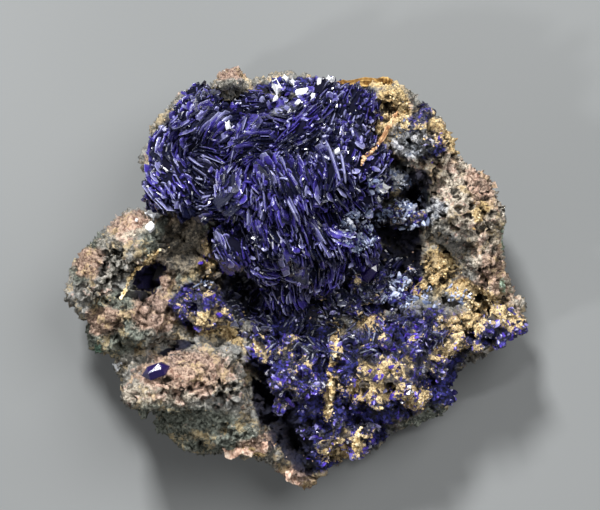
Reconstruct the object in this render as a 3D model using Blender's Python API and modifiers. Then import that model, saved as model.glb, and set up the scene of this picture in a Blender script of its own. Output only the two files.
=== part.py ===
"""Azurite specimen: rosettes of bladed azurite grown on a rough piece of limonite gossan.

The specimen lies on its broken flat back with its crystal face up. X runs to the right of the crystal
face, Y to its top and Z up out of it. The origin is at the bottom centre of the whole specimen.
Tables of places and sizes are in millimetres; MM turns them into Blender's metres.
"""

import math
import random

import bmesh
import bpy
from mathutils import Matrix, Vector
from mathutils.bvhtree import BVHTree

MM = 0.001

WIDTH = 64.0  # the whole specimen from its left tip to its right tip, which everything is scaled to
BASE_SINK = 2.0  # how far the rock runs below Z 0 before the flat back is cut
GAP = 0.3  # clearance between the rock and the crystals that sit on it
SEAT_ROOM = 0.9  # clearance between a cluster's hidden core and its seat in the rock

# The rock's outline seen from above, clockwise from its left tip.
OUTLINE = [
    (-32, -1), (-31.5, 2.5), (-28.5, 5), (-24.5, 8.5), (-20.5, 9.5), (-20, 14), (-18, 19.5), (-14, 25),
    (-12, 26.5), (-9, 29), (-6.5, 26), (-3.5, 25.5), (3, 28), (6.5, 26.5), (11, 27.5), (14, 26.5),
    (17.5, 23.5), (22, 18.5), (26, 14.5), (28.5, 9), (28, 5.5), (29, 0.5), (32, -5.5), (31, -8),
    (26, -10.5), (22, -14.5), (19.5, -20), (11, -22), (8.5, -24.5), (4, -27), (1, -28.5), (-5.5, -25),
    (-14.5, -24.5), (-17.5, -22), (-22, -17.5), (-25, -15), (-24.5, -12), (-27.5, -10), (-29.5, -6.5),
]
# Height of each level of the rock's body and its outline's share of full size.
BODY_LEVELS = [(-BASE_SINK, 0.5), (2.5, 0.76), (7, 0.95), (11, 0.985), (14, 0.9)]

# The rock's lumps: centre, half sizes along X, Y and Z, and turn about Z in degrees.
LUMPS = {
    "left_knob": ((-27, -1, 12), (4.5, 5, 7.5), 0),
    "left_top": ((-22, 4.5, 13), (6.5, 4.5, 8.5), 20),
    "left_middle": ((-21.5, -4.5, 12), (6.5, 5.5, 8.5), 30),
    "left_skirt": ((-25, -7.5, 9), (4, 3.5, 7), 0),
    "foot_main": ((-15, -13.5, 15), (8.5, 5, 12), 5),
    "foot_brow": ((-16, -16.5, 20), (9, 2, 4.5), -6),
    "foot_face": ((-11.5, -19.5, 11), (8, 4.5, 10), -8),
    "foot_shoulder": ((-8.5, -15, 15), (3, 4.5, 9), 25),
    "foot_heel": ((-7, -21, 13), (4, 3, 8), -20),
    "foot_toe": ((-0.5, -26, 7), (4, 2, 6), -25),
    "left_wall": ((-14.5, 6, 11.5), (5, 7.5, 9), 0),
    "top_knob": ((-9, 26, 17), (3, 2.5, 8), 0),
    "top_rim": ((0.5, 25, 16), (7, 2.5, 9), 0),
    "top_right_rim": ((12, 24, 16), (4, 3, 10), -20),
    "shoulder": ((17, 17.5, 15), (4.5, 6, 11), 30),
    "ridge": ((22.5, 9.5, 13), (5.5, 7, 11), 30),
    "flank": ((25, 2.5, 11.5), (4, 6, 9), 10),
    "right_foot": ((28, -4.5, 9.5), (3.5, 4, 7), 30),
    "slab_right": ((21.5, -7, 10), (9, 4.5, 9), 10),
    "slab_middle": ((11.5, -12.5, 9.5), (10.5, 8.5, 11), 0),
    "slab_left": ((0.5, -12.5, 8), (7.5, 7, 10), 0),
    "slab_low": ((6.5, -20.5, 7.5), (6, 4.5, 8), 0),
    "slab_edge": ((16, -16.5, 7), (5, 4, 7), 0),
    "heart": ((-1, 12, 11), (16.5, 13, 9), 0),
    "left_shoulder": ((-13.5, 17, 11.5), (7.5, 9, 8.5), 0),
    "pocket_lump": ((-12.5, -3.5, 11), (4.5, 4.5, 8), 0),
}

# Hollows cut into the rock: centre, half sizes and turn about Z.
HOLLOWS = {
    "vug": ((9, 0.5, 21), (15.5, 4, 12), 14),
    "cleft": ((-3.0, -18.5, 19.5), (2.3, 10, 13.5), 26),
    "socket": ((-20.2, 0, 23), (1.7, 2.1, 12), 0),
    "slit": ((-18, -9.5, 20), (7, 1.2, 10), 12),
    "heel_slit": ((-7, -21.8, 22), (2.6, 0.9, 6), 10),
    "left_dent": ((-25.3, 0.6, 21), (1.2, 1.2, 4), 0),
    "wall_bay": ((-15, 5.5, 24), (4, 4.5, 8), 10),
    "shoulder_bay": ((17.5, 12.5, 27), (2.2, 4.5, 10), -25),
    "dark_bay": ((-7.5, -2, 22), (4.5, 4.5, 11), 0),
}

# Rough relief of the rock: voxel size and the two sizes of its waves.
ROCK_VOXEL = 0.8
CHUNK_SIZE, CHUNK_DEPTH = 6.0, 2.6
GRAIN_SIZE, GRAIN_DEPTH = 2.2, 1.8
ROCK_FACES = 2600

# Fans of blades in each cluster: centre, radius, and the direction of the blades' edges in degrees from +X.
ROSETTE_HEART = (-2, 11, 8)
ROSETTE_CORES = [((0, 12.5, 19), (13.5, 10.5, 9)), ((-13.5, 16, 17.5), (6, 7.5, 6))]
ROSETTE_FANS = [
    ((-4.5, 17.5, 26), 4.7, 28),
    ((0.5, 19, 27), 4.7, 25),
    ((3.5, 23, 24), 4.0, 50),
    ((7.5, 22, 24), 4.1, 65),
    ((-6.5, 11.5, 26), 4.4, 80),
    ((-1.5, 12, 28.5), 5.4, 100),
    ((4, 13.5, 27.5), 4.9, 115),
    ((-1.5, 6.5, 25.5), 5.2, 110),
    ((3.5, 6.5, 23.5), 4.4, 122),
    ((-8, 4.5, 22), 3.6, 115),
    ((-3.5, 2.5, 20.5), 3.8, 150),
    ((-1.5, -1.5, 15.5), 3.6, 105),
    ((9, 15.5, 25), 3.9, 60),
    ((7.5, 10.5, 22.5), 3.6, 130),
    ((3.5, 1, 17), 3.3, 60),
    ((-12.5, 20.5, 22.5), 4.7, 52),
    ((-17, 17.5, 20), 3.3, 75),
    ((-11, 15.5, 23), 3.6, 150),
    ((-16, 12.5, 22), 4.4, 120),
    ((-11, 11, 21.5), 3.9, 5),
    ((-18.5, 11, 17), 2.3, 90),
    ((-5.5, 22.5, 21.5), 3.0, 0),
    ((-13, 24, 19.5), 2.5, 45),
    ((11, 12.5, 21), 2.2, 70),
    ((8, 5, 19), 3.6, 120),
    ((1.5, 2, 19.5), 3.8, 100),
    ((6.5, 18, 26.5), 3.9, 60),
    ((-4, 21.5, 22.5), 3.2, 10),
    ((-8.5, 20, 22), 3.6, 35),
]

LEDGE_HEART = (14, 5, 6)
LEDGE_CORES = [((14.5, 8.5, 15), (4, 2.0, 3.2)), ((11, 5.5, 13), (2.4, 2.2, 2.4))]
LEDGE_FANS = [
    ((13.5, 9, 17.5), 2.7, 25),
    ((17, 10.5, 18), 2.2, 25),
    ((10.5, 5, 14), 2.3, 110),
]

SHOULDER_HEART = (15.5, 20, 12)
SHOULDER_CORES = [((16.5, 21.5, 22.5), (1.8, 1.6, 2.4))]
SHOULDER_FANS = [((16.5, 22, 24.5), 2.0, 120), ((15, 20.5, 24.5), 1.5, 60)]

CLUSTERS = {
    "azurite_rosette": (ROSETTE_HEART, ROSETTE_CORES, ROSETTE_FANS),
    "azurite_ledge": (LEDGE_HEART, LEDGE_CORES, LEDGE_FANS),
    "azurite_shoulder": (SHOULDER_HEART, SHOULDER_CORES, SHOULDER_FANS),
}

BLADES_PER_MM = 0.7  # blades in a fan for each millimetre of its radius
BLADE_SPREAD = 62  # degrees that the outermost blades lean from the middle of their fan
BLADE_THICKNESS = 0.55
BLADE_LENGTH, BLADE_WIDTH, BLADE_RISE = 0.95, 0.64, 0.36  # half sizes and rise off the spine, in fan radii
FAN_REACH = 1.08  # how far the blades reach from a fan's centre, in its radius
SKIN_VOXEL = 0.6
BLADE_TAPER = 0.82  # the smaller face's share of the larger one
CORE_DETAIL = 1  # how finely the cores and their seats in the rock are faceted

# Druses: patches of short crystals grown into each other. Place and half sizes from above, turn, crystal count.
DRUSES = {
    "azurite_druse_left": ((-1.5, -12.2), (5.9, 3.6), -36, 12),
    "azurite_druse_foot": ((7.6, -21.5), (5.2, 2.2), 12, 7),
    "azurite_druse_middle": ((14.8, -11), (8.2, 4.6), 30, 17),
    "azurite_druse_right": ((26.5, -6.5), (4, 2.2), 25, 6),
    "azurite_druse_pocket": ((-13, -3.5), (3.4, 3), 0, 6),
    "azurite_vug_crust": ((10, -1.8), (7, 2.3), 14, 10),
}
DRUSE_CRYSTAL = (1.5, 3.6)  # radius and length of a typical druse crystal
DRUSE_REACH = 2.6  # how far a crystal reaches from its foot
BED_BALL = 1.75  # radius of the bed round each crystal's foot
BED_VOXEL = 0.6
BED_FACES = 7  # faces of the bed for each crystal on it
STUB_TAPER = 0.5

# The single crystal: place from above, turn about Z, radius, length of its prism and of each point.
LONE_CRYSTAL = ((-18.5, -12), 15, 1.0, 2.2, 1.1)

SEED = 7


def clear_scene():
    for obj in list(bpy.data.objects):
        bpy.data.objects.remove(obj, do_unlink=True)


def new_collection(name):
    made = bpy.data.collections.new(name)
    bpy.context.scene.collection.children.link(made)
    return made


def new_material(name, colour, roughness, metallic=0.0):
    made = bpy.data.materials.new(name)
    made.use_nodes = True
    shader = made.node_tree.nodes["Principled BSDF"]
    shader.inputs["Base Color"].default_value = (*colour, 1.0)
    shader.inputs["Roughness"].default_value = roughness
    shader.inputs["Metallic"].default_value = metallic
    return made


def new_object(name, bm, collection, hidden=False):
    """The bmesh as an object in the collection; a hidden one is a cutter or a guide."""
    mesh = bpy.data.meshes.new(name)
    bm.to_mesh(mesh)
    bm.free()
    made = bpy.data.objects.new(name, mesh)
    collection.objects.link(made)
    if hidden:
        made.hide_render = True
        made.display_type = "WIRE"
    return made


def placed(centre, half_sizes, turn=0.0):
    """The matrix that gives a unit shape its half sizes, turns it about Z and sets it in place."""
    place = Matrix.Translation(Vector(centre) * MM)
    return place @ Matrix.Rotation(math.radians(turn), 4, "Z") @ Matrix.Diagonal((*(h * MM for h in half_sizes), 1))


def add_ellipsoid(bm, centre, half_sizes, turn=0.0, detail=3):
    bmesh.ops.create_icosphere(bm, subdivisions=detail, radius=1.0, matrix=placed(centre, half_sizes, turn))


def add_body(bm):
    """Lofts the rock's outline through its levels."""
    rings = []
    for height, share in BODY_LEVELS:
        rings.append([bm.verts.new(Vector((x * share, y * share, height)) * MM) for x, y in OUTLINE])
    for lower, upper in zip(rings, rings[1:]):
        for i in range(len(OUTLINE)):
            j = (i + 1) % len(OUTLINE)
            bm.faces.new((lower[j], lower[i], upper[i], upper[j]))
    bm.faces.new(rings[0])
    bm.faces.new(reversed(rings[-1]))


def evaluated(obj):
    """A copy of the object's mesh with its modifiers applied."""
    graph = bpy.context.evaluated_depsgraph_get()
    return bpy.data.meshes.new_from_object(obj.evaluated_get(graph), depsgraph=graph)


def settle(obj):
    """Applies the object's modifiers and leaves it a plain mesh."""
    mesh = evaluated(obj)
    obj.modifiers.clear()
    obj.data = mesh


def drop_chips(obj):
    """Keeps the largest connected piece of the object's mesh, and removes the chips a cut left beside it."""
    bm = bmesh.new()
    bm.from_mesh(obj.data)
    unseen = set(bm.verts)
    pieces = []
    while unseen:
        piece, edge = set(), [unseen.pop()]
        while edge:
            vert = edge.pop()
            piece.add(vert)
            near = {e.other_vert(vert) for e in vert.link_edges} & unseen
            unseen -= near
            edge.extend(near)
        pieces.append(piece)
    largest = max(pieces, key=len)
    bmesh.ops.delete(bm, geom=[v for v in bm.verts if v not in largest], context="VERTS")
    bm.to_mesh(obj.data)
    bm.free()


def boolean(obj, other, operation, self_crossing=False):
    cut = obj.modifiers.new(operation.lower(), "BOOLEAN")
    cut.operation = operation
    cut.object = other
    cut.use_self = self_crossing
    return cut


def roughen(obj, name, basis, size, depth, middle):
    """Pushes the surface in and out along its normals by a noise of the given size and depth."""
    noise = bpy.data.textures.new(name, "CLOUDS")
    noise.noise_basis = basis
    noise.noise_scale = size * MM
    noise.noise_depth = 1
    push = obj.modifiers.new(name, "DISPLACE")
    push.texture = noise
    push.texture_coords = "LOCAL"
    push.strength = depth * MM
    push.mid_level = middle


def swell(obj, by):
    push = obj.modifiers.new("swell", "DISPLACE")
    push.strength = by * MM
    push.mid_level = 0.0


def remesh(obj, voxel):
    even = obj.modifiers.new("even", "REMESH")
    even.mode = "VOXEL"
    even.voxel_size = voxel * MM


def thin_out(obj, faces):
    """Reduces the object's quads to about this many triangles."""
    thin = obj.modifiers.new("facets", "DECIMATE")
    thin.ratio = min(1.0, faces / (2 * len(obj.data.polygons)))


def make_matrix(parts, cutters, material):
    """The rock: body and lumps run together, hollowed, roughened, seated and cut flat at the back."""
    bm = bmesh.new()
    add_body(bm)
    for centre, half_sizes, turn in LUMPS.values():
        add_ellipsoid(bm, centre, half_sizes, turn)
    rock = new_object("matrix", bm, parts)
    remesh(rock, ROCK_VOXEL)

    bm = bmesh.new()
    for centre, half_sizes, turn in HOLLOWS.values():
        add_ellipsoid(bm, centre, half_sizes, turn)
    hollows = new_object("hollow_cutter", bm, cutters, hidden=True)
    remesh(hollows, ROCK_VOXEL / 2)
    boolean(rock, hollows, "DIFFERENCE")
    remesh(rock, ROCK_VOXEL)
    roughen(rock, "chunks", "VORONOI_F2_F1", CHUNK_SIZE, CHUNK_DEPTH, 0.35)
    roughen(rock, "grain", "ORIGINAL_PERLIN", GRAIN_SIZE, GRAIN_DEPTH, 0.5)

    bm = bmesh.new()
    for _, cores, _ in CLUSTERS.values():
        for centre, half_sizes in cores:
            add_ellipsoid(bm, centre, [size + SEAT_ROOM for size in half_sizes], detail=CORE_DETAIL)
    seats = new_object("seat_cutter", bm, cutters, hidden=True)
    boolean(rock, seats, "DIFFERENCE", self_crossing=True)
    remesh(rock, ROCK_VOXEL)
    settle(rock)
    thin_out(rock, ROCK_FACES)

    bm = bmesh.new()
    bmesh.ops.create_cube(bm, size=2.0, matrix=placed((0, 0, -20), (60, 60, 20)))
    floor = new_object("base_cutter", bm, cutters, hidden=True)
    boolean(rock, floor, "DIFFERENCE")
    settle(rock)
    drop_chips(rock)
    rock.data.materials.append(material)
    return rock


def swollen_copy(rock, name, by, cutters):
    made = bpy.data.objects.new(name, rock.data.copy())
    cutters.objects.link(made)
    made.hide_render = True
    made.display_type = "WIRE"
    swell(made, by)
    settle(made)
    return made


def add_blade(bm, centre, spine, out, half_length, half_width):
    """One six-sided plate, lying along the spine and reaching outwards, with a slightly bevelled rim."""
    normal = spine.cross(out)
    turn = Matrix((spine * half_length, out * half_width, normal)).transposed().to_4x4()
    bmesh.ops.create_cone(
        bm, cap_ends=True, segments=6, radius1=1.0, radius2=BLADE_TAPER, depth=BLADE_THICKNESS * MM,
        matrix=Matrix.Translation(centre) @ turn,
    )


def add_fan(bm, heart, centre, radius, direction, chance):
    """A book-like fan: blades that share a spine across the face and spread like open pages."""
    blades = max(2, round(BLADES_PER_MM * radius))
    centre = Vector(centre) * MM
    face = (centre - Vector(heart) * MM).normalized()
    angle = math.radians(direction)
    spine = Vector((math.cos(angle), math.sin(angle), 0))
    spine = (spine - face * spine.dot(face)).normalized()
    for i in range(blades):
        spread = math.radians(BLADE_SPREAD * (2 * i / (blades - 1) - 1) + chance.uniform(-6, 6))
        out = Matrix.Rotation(spread, 3, spine) @ face
        size = radius * MM * chance.uniform(0.9, 1.05)
        add_blade(bm, centre + out * size * BLADE_RISE, spine, out, size * BLADE_LENGTH, size * BLADE_WIDTH)


def cut_clear(crystal, skins):
    """Cuts the crystal back from the skin of the rock and of each cluster, and drops its chips."""
    for skin in skins:
        boolean(crystal, skin, "DIFFERENCE", self_crossing=True)
        settle(crystal)
    drop_chips(crystal)


def room_skin(name, balls, cutters):
    """The room that a piece of azurite takes, with its gap, as balls or ellipsoids run together."""
    bm = bmesh.new()
    for centre, half_sizes in balls:
        add_ellipsoid(bm, centre, [size + GAP for size in half_sizes])
    skin = new_object(name + "_skin", bm, cutters, hidden=True)
    remesh(skin, SKIN_VOXEL)
    settle(skin)
    return skin


def make_cluster(name, heart, cores, fans, skins, parts, cutters, material):
    """A cluster of fans and the solid azurite that they rise from, cut to sit just off the rock."""
    chance = random.Random(SEED + len(fans))
    bm = bmesh.new()
    for centre, half_sizes in cores:
        add_ellipsoid(bm, centre, half_sizes, detail=CORE_DETAIL)
    cluster = new_object(name, bm, parts)
    bm = bmesh.new()
    for centre, radius, direction in fans:
        add_fan(bm, heart, centre, radius, direction, chance)
    plates = new_object(name + "_blades", bm, cutters, hidden=True)
    boolean(cluster, plates, "UNION", self_crossing=True)
    settle(cluster)
    cut_clear(cluster, skins)
    reach = [(centre, [FAN_REACH * radius] * 3) for centre, radius, _ in fans]
    skins.append(room_skin(name, cores + reach, cutters))
    cluster.data.materials.append(material)
    return cluster


def add_stub(bm, foot, up, radius, length, turn):
    """A stubby six-sided crystal with a narrowed flat top, its root sunk below its foot."""
    stand = up.to_track_quat("Z", "Y").to_matrix().to_4x4() @ Matrix.Rotation(turn, 4, "Z")
    bmesh.ops.create_cone(
        bm, cap_ends=True, segments=6, radius1=radius * MM, radius2=STUB_TAPER * radius * MM, depth=length * MM,
        matrix=Matrix.Translation(foot + up * 0.12 * length * MM) @ stand,
    )


def rock_below(surface, x, y):
    """The highest point of the rock at this place seen from above, and the direction its surface faces."""
    foot, up, _, _ = surface.ray_cast(Vector((x * MM, y * MM, 1.0)), Vector((0, 0, -1)))
    return foot, up


def make_druse(name, centre, half_sizes, turn, crystals, surface, skins, parts, cutters, material):
    """A patch of crystals in a sunflower pattern, on a lumpy bed that joins their feet."""
    chance = random.Random(SEED + crystals)
    bm = bmesh.new()
    bed = bmesh.new()
    reach = []
    for k in range(crystals):
        out = math.sqrt((k + 0.5) / crystals)
        angle = k * math.pi * (3 - math.sqrt(5))
        spot = Vector((half_sizes[0] * out * math.cos(angle), half_sizes[1] * out * math.sin(angle), 0))
        spot.rotate(Matrix.Rotation(math.radians(turn), 3, "Z"))
        foot, up = rock_below(surface, centre[0] + spot.x, centre[1] + spot.y)
        radius, length = (size * chance.uniform(0.8, 1.2) for size in DRUSE_CRYSTAL)
        lean = Vector((chance.uniform(-0.4, 0.4), chance.uniform(-0.4, 0.4), 0.6))
        add_stub(bm, foot, (up + lean).normalized(), radius, length, chance.uniform(0, math.pi))
        add_ellipsoid(bed, foot / MM, [BED_BALL] * 3, detail=2)
        reach.append((foot / MM, [DRUSE_REACH] * 3))
    stubs = new_object(name + "_crystals", bm, cutters, hidden=True)
    druse = new_object(name, bed, parts)
    remesh(druse, BED_VOXEL)
    settle(druse)
    thin_out(druse, BED_FACES * crystals)
    boolean(druse, stubs, "UNION", self_crossing=True)
    settle(druse)
    cut_clear(druse, skins)
    skins.append(room_skin(name, reach, cutters))
    druse.data.materials.append(material)


def make_lone_crystal(surface, skins, parts, material):
    """A single six-sided crystal pointed at both ends, lying on the lower left lump."""
    (x, y), turn, radius, prism, point = LONE_CRYSTAL
    foot, _ = rock_below(surface, x, y)
    place = Matrix.Translation(foot + Vector((0, 0, 0.5 * radius * MM)))
    place @= Matrix.Rotation(math.radians(turn), 4, "Z") @ Matrix.Rotation(math.radians(90), 4, "Y")
    bm = bmesh.new()
    bmesh.ops.create_cone(
        bm, cap_ends=True, segments=6, radius1=radius * MM, radius2=radius * MM, depth=prism * MM, matrix=place,
    )
    ends = [face for face in bm.faces if len(face.verts) == 6]
    bmesh.ops.poke(bm, faces=ends, offset=point * MM)
    crystal = new_object("azurite_lone_crystal", bm, parts)
    cut_clear(crystal, skins)
    crystal.data.materials.append(material)


def fit_to_width(parts):
    """Scales the whole specimen to its width and sets the middle of its underside on the origin."""
    corners = [vert.co for obj in parts.objects for vert in obj.data.vertices]
    low = Vector([min(corner[i] for corner in corners) for i in range(3)])
    high = Vector([max(corner[i] for corner in corners) for i in range(3)])
    foot = Vector(((low.x + high.x) / 2, (low.y + high.y) / 2, low.z))
    place = Matrix.Scale(WIDTH * MM / (high.x - low.x), 4) @ Matrix.Translation(-foot)
    for obj in parts.objects:
        obj.data.transform(place)


def main():
    clear_scene()
    parts = new_collection("azurite_specimen")
    cutters = new_collection("cutters")
    gossan = new_material("gossan", (0.21, 0.16, 0.12), 0.95)
    azurite = new_material("azurite", (0.02, 0.015, 0.22), 0.2)

    rock = make_matrix(parts, cutters, gossan)
    skins = [swollen_copy(rock, "rock_skin", GAP, cutters)]
    surface = BVHTree.FromObject(rock, bpy.context.evaluated_depsgraph_get())
    for name, sizes in CLUSTERS.items():
        make_cluster(name, *sizes, skins, parts, cutters, azurite)
    for name, sizes in DRUSES.items():
        make_druse(name, *sizes, surface, skins, parts, cutters, azurite)
    make_lone_crystal(surface, skins, parts, azurite)
    fit_to_width(parts)


main()
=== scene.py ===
"""Azurite specimen, dressed: bladed azurite rosettes and druses on rough limonite gossan.

It lies on its flat back with its crystal face up. X runs to the right of the crystal face, Y to its top
and Z up out of it. Tables are in millimetres of the part's own tables, which SOLIDS_SCALE and SOLIDS_SHIFT
turn into the frame's; MM turns millimetres into metres.
"""

import math
import random

import bmesh
import bpy
import numpy as np
from mathutils import Euler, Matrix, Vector, noise
from mathutils.bvhtree import BVHTree


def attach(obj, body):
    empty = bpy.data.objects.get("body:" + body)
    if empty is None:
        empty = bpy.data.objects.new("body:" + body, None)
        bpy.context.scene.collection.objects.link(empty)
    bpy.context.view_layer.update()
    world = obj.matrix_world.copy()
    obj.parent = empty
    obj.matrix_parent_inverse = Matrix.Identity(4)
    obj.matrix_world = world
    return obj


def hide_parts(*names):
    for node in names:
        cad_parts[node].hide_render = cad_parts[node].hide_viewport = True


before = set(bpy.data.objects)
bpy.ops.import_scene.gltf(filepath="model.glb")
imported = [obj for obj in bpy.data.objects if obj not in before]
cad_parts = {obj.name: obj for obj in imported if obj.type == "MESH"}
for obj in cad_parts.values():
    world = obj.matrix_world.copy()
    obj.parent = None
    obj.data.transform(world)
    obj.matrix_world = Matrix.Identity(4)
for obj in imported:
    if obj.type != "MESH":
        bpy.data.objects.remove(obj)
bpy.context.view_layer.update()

MM = 0.001
SOLIDS_SCALE = 1.0089
SOLIDS_SHIFT = Vector((0.022, -0.582, 0))
SEED = 11
ABOVE = 60  # millimetres up, higher than the specimen, where a look straight down starts
PER_MM2 = 1e6

scene = bpy.context.scene


# ---------------------------------------------------------------- node trees


class Field:
    """A node socket. Operators on it add Math nodes to its tree."""

    def __init__(self, tree, socket):
        self.tree, self.socket = tree, socket

    def maths(self, operation, *values):
        return node(self.tree, "ShaderNodeMath", {"operation": operation}, values)

    def __add__(self, other):
        return self.maths("ADD", self, other)

    __radd__ = __add__

    def __sub__(self, other):
        return self.maths("SUBTRACT", self, other)

    def __rsub__(self, other):
        return self.maths("SUBTRACT", other, self)

    def __mul__(self, other):
        return self.maths("MULTIPLY", self, other)

    __rmul__ = __mul__

    def __truediv__(self, other):
        return self.maths("DIVIDE", self, other)

    def __pow__(self, other):
        return self.maths("POWER", self, other)

    def most(self, other):
        return self.maths("MAXIMUM", self, other)

    def least(self, other):
        return self.maths("MINIMUM", self, other)

    def ease(self, low, high, start=0.0, end=1.0):
        """A smooth step from start at low to end at high."""
        return node(self.tree, "ShaderNodeMapRange", {"interpolation_type": "SMOOTHSTEP"},
                    {"Value": self, "From Min": low, "From Max": high, "To Min": start, "To Max": end})


def node(tree, kind, settings=None, inputs=None, output=0):
    """Adds a node: its settings first, then the values or links of its sockets. Returns one output."""
    made = tree.nodes.new(kind)
    for name, value in (settings or {}).items():
        if name == "stops":
            ramp = made.color_ramp
            while len(ramp.elements) > 1:
                ramp.elements.remove(ramp.elements[-1])
            ramp.elements[0].position, ramp.elements[0].color = value[0][0], (*value[0][1], 1)
            for place, colour in value[1:]:
                ramp.elements.new(place).color = (*colour, 1)
        else:
            setattr(made, name, value)
    pairs = inputs.items() if isinstance(inputs, dict) else enumerate(inputs or ())
    for key, value in pairs:
        if isinstance(value, Field):
            tree.links.new(value.socket, made.inputs[key])
        else:
            made.inputs[key].default_value = value
    return Field(tree, made.outputs[output])


def shift(tree, a, b=None, operation="ADD"):
    """Vector arithmetic on two vectors, on one for NORMALIZE, or on a vector and a number for SCALE."""
    keys = {"Vector": a, "Scale": b} if operation == "SCALE" else {0: a}
    if operation not in ("SCALE", "NORMALIZE"):
        keys[1] = b
    return node(tree, "ShaderNodeVectorMath", {"operation": operation}, keys)


def mix(tree, factor, a, b):
    """One colour laid over another by a factor."""
    a, b = (v if isinstance(v, Field) else (*v, 1) for v in (a, b))
    return node(tree, "ShaderNodeMix", {"data_type": "RGBA"}, {0: factor, 6: a, 7: b}, 2)


class Finish:
    """A material being made: its tree, its pattern coordinates in millimetres, and its shader."""

    def __init__(self, name, roughness, ior=1.5, coat=0.0, specular=0.5):
        self.material = bpy.data.materials.new(name)
        self.material.use_nodes = True
        self.tree = self.material.node_tree
        self.shader = self.tree.nodes["Principled BSDF"]
        self.shader.inputs["Roughness"].default_value = roughness
        self.shader.inputs["IOR"].default_value = ior
        self.shader.inputs["Coat Weight"].default_value = coat
        self.shader.inputs["Specular IOR Level"].default_value = specular
        object_place = node(self.tree, "ShaderNodeTexCoord", output="Object")
        self.place = node(self.tree, "ShaderNodeMapping", None,
                          {"Vector": object_place, "Scale": (1 / MM,) * 3})

    def noise(self, per_mm, detail=3.0, rough=0.55, place=None):
        return node(self.tree, "ShaderNodeTexNoise", None, {
            "Vector": place or self.place, "Scale": per_mm, "Detail": detail, "Roughness": rough})

    def cells(self, per_mm, output="Distance"):
        return node(self.tree, "ShaderNodeTexVoronoi", None, {"Vector": self.place, "Scale": per_mm}, output)

    def trait(self, name, output="Fac"):
        return node(self.tree, "ShaderNodeAttribute", {"attribute_name": name}, None, output)

    def mix(self, factor, a, b):
        return mix(self.tree, factor, a, b)

    def join(self, name, value):
        self.tree.links.new(value.socket, self.shader.inputs[name])

    def bump(self, *layers):
        """Chains Bump nodes for (height, strength, depth in mm) layers into the shader's normal."""
        normal = None
        for height, strength, depth in layers:
            keys = {"Height": height, "Strength": strength, "Distance": depth * MM}
            if normal:
                keys["Normal"] = normal
            normal = node(self.tree, "ShaderNodeBump", None, keys)
        self.join("Normal", normal)


class Rule:
    """A Geometry Nodes tree being made, with named inputs."""

    def __init__(self, name, **sizes):
        self.tree = bpy.data.node_groups.new(name, "GeometryNodeTree")
        self.tree.interface.new_socket("Geometry", in_out="INPUT", socket_type="NodeSocketGeometry")
        self.keys, self.defaults = {}, {}
        kinds = {float: "NodeSocketFloat", int: "NodeSocketInt", str: "NodeSocketObject"}
        for label, value in sizes.items():
            made = self.tree.interface.new_socket(label, in_out="INPUT", socket_type=kinds[type(value)])
            self.keys[label] = made.identifier
            if value != "":
                self.defaults[label] = value
        self.tree.interface.new_socket("Geometry", in_out="OUTPUT", socket_type="NodeSocketGeometry")
        self.group = self.tree.nodes.new("NodeGroupInput")

    def size(self, label):
        return Field(self.tree, self.group.outputs[label])

    def node(self, kind, settings=None, inputs=None, output=0):
        return node(self.tree, kind, settings, inputs, output)

    def trait(self, name, kind="FLOAT"):
        return self.node("GeometryNodeInputNamedAttribute", {"data_type": kind}, {"Name": name})

    def chance(self, low, high, salt, kind="FLOAT"):
        """A random value for each element; salt keeps the draws apart."""
        keys = {"FLOAT": (2, 3, 1), "FLOAT_VECTOR": (0, 1, 0)}[kind]
        seed = self.size("Seed") + salt
        return self.node("FunctionNodeRandomValue", {"data_type": kind},
                         {keys[0]: low, keys[1]: high, "Seed": seed}, keys[2])

    def end(self, geometry):
        out = self.tree.nodes.new("NodeGroupOutput")
        self.tree.links.new(geometry.socket, out.inputs["Geometry"])

    def apply(self, obj, **sizes):
        """The object with this rule run on it, as a plain mesh."""
        modifier = obj.modifiers.new("rule", "NODES")
        modifier.node_group = self.tree
        for label, value in {**self.defaults, **sizes}.items():
            modifier[self.keys[label]] = value
        mesh = evaluated_mesh(obj)
        obj.modifiers.remove(modifier)
        return mesh


# ---------------------------------------------------------------- meshes


def evaluated_mesh(obj):
    graph = bpy.context.evaluated_depsgraph_get()
    return bpy.data.meshes.new_from_object(obj.evaluated_get(graph), preserve_all_data_layers=True,
                                           depsgraph=graph)


def new_object(name, mesh):
    made = bpy.data.objects.new(name, mesh)
    scene.collection.objects.link(made)
    return made


def mesh_of(name, points, faces):
    mesh = bpy.data.meshes.new(name)
    mesh.from_pydata([tuple(p) for p in points], [], faces)
    mesh.update()
    return mesh


def outward(mesh):
    bm = bmesh.new()
    bm.from_mesh(mesh)
    bmesh.ops.recalc_face_normals(bm, faces=bm.faces)
    bm.to_mesh(mesh)
    bm.free()
    return mesh


def merged_copy(node_name):
    """The solid's mesh with its loose triangles joined."""
    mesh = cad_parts[node_name].data.copy()
    bm = bmesh.new()
    bm.from_mesh(mesh)
    bmesh.ops.remove_doubles(bm, verts=bm.verts, dist=1e-6)
    bm.to_mesh(mesh)
    bm.free()
    mesh.materials.clear()
    return mesh


def vertex_array(mesh):
    points = np.empty(len(mesh.vertices) * 3, np.float32)
    mesh.vertices.foreach_get("co", points)
    return points.reshape(-1, 3).astype(float)


def normal_array(mesh):
    normals = np.empty(len(mesh.vertices) * 3, np.float32)
    mesh.vertices.foreach_get("normal", normals)
    return normals.reshape(-1, 3)


def trait_array(mesh, name):
    values = np.empty(len(mesh.vertices), np.float32)
    mesh.attributes[name].data.foreach_get("value", values)
    return values


def noise_values(places):
    return np.array([noise.noise(p) for p in places.tolist()])


def ground_under(seat, x, y):
    """Where a look straight down at a place of the tables meets the seat, or None."""
    return seat.ray_cast(in_frame((x, y, ABOVE)), Vector((0, 0, -1)))[0]


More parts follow.
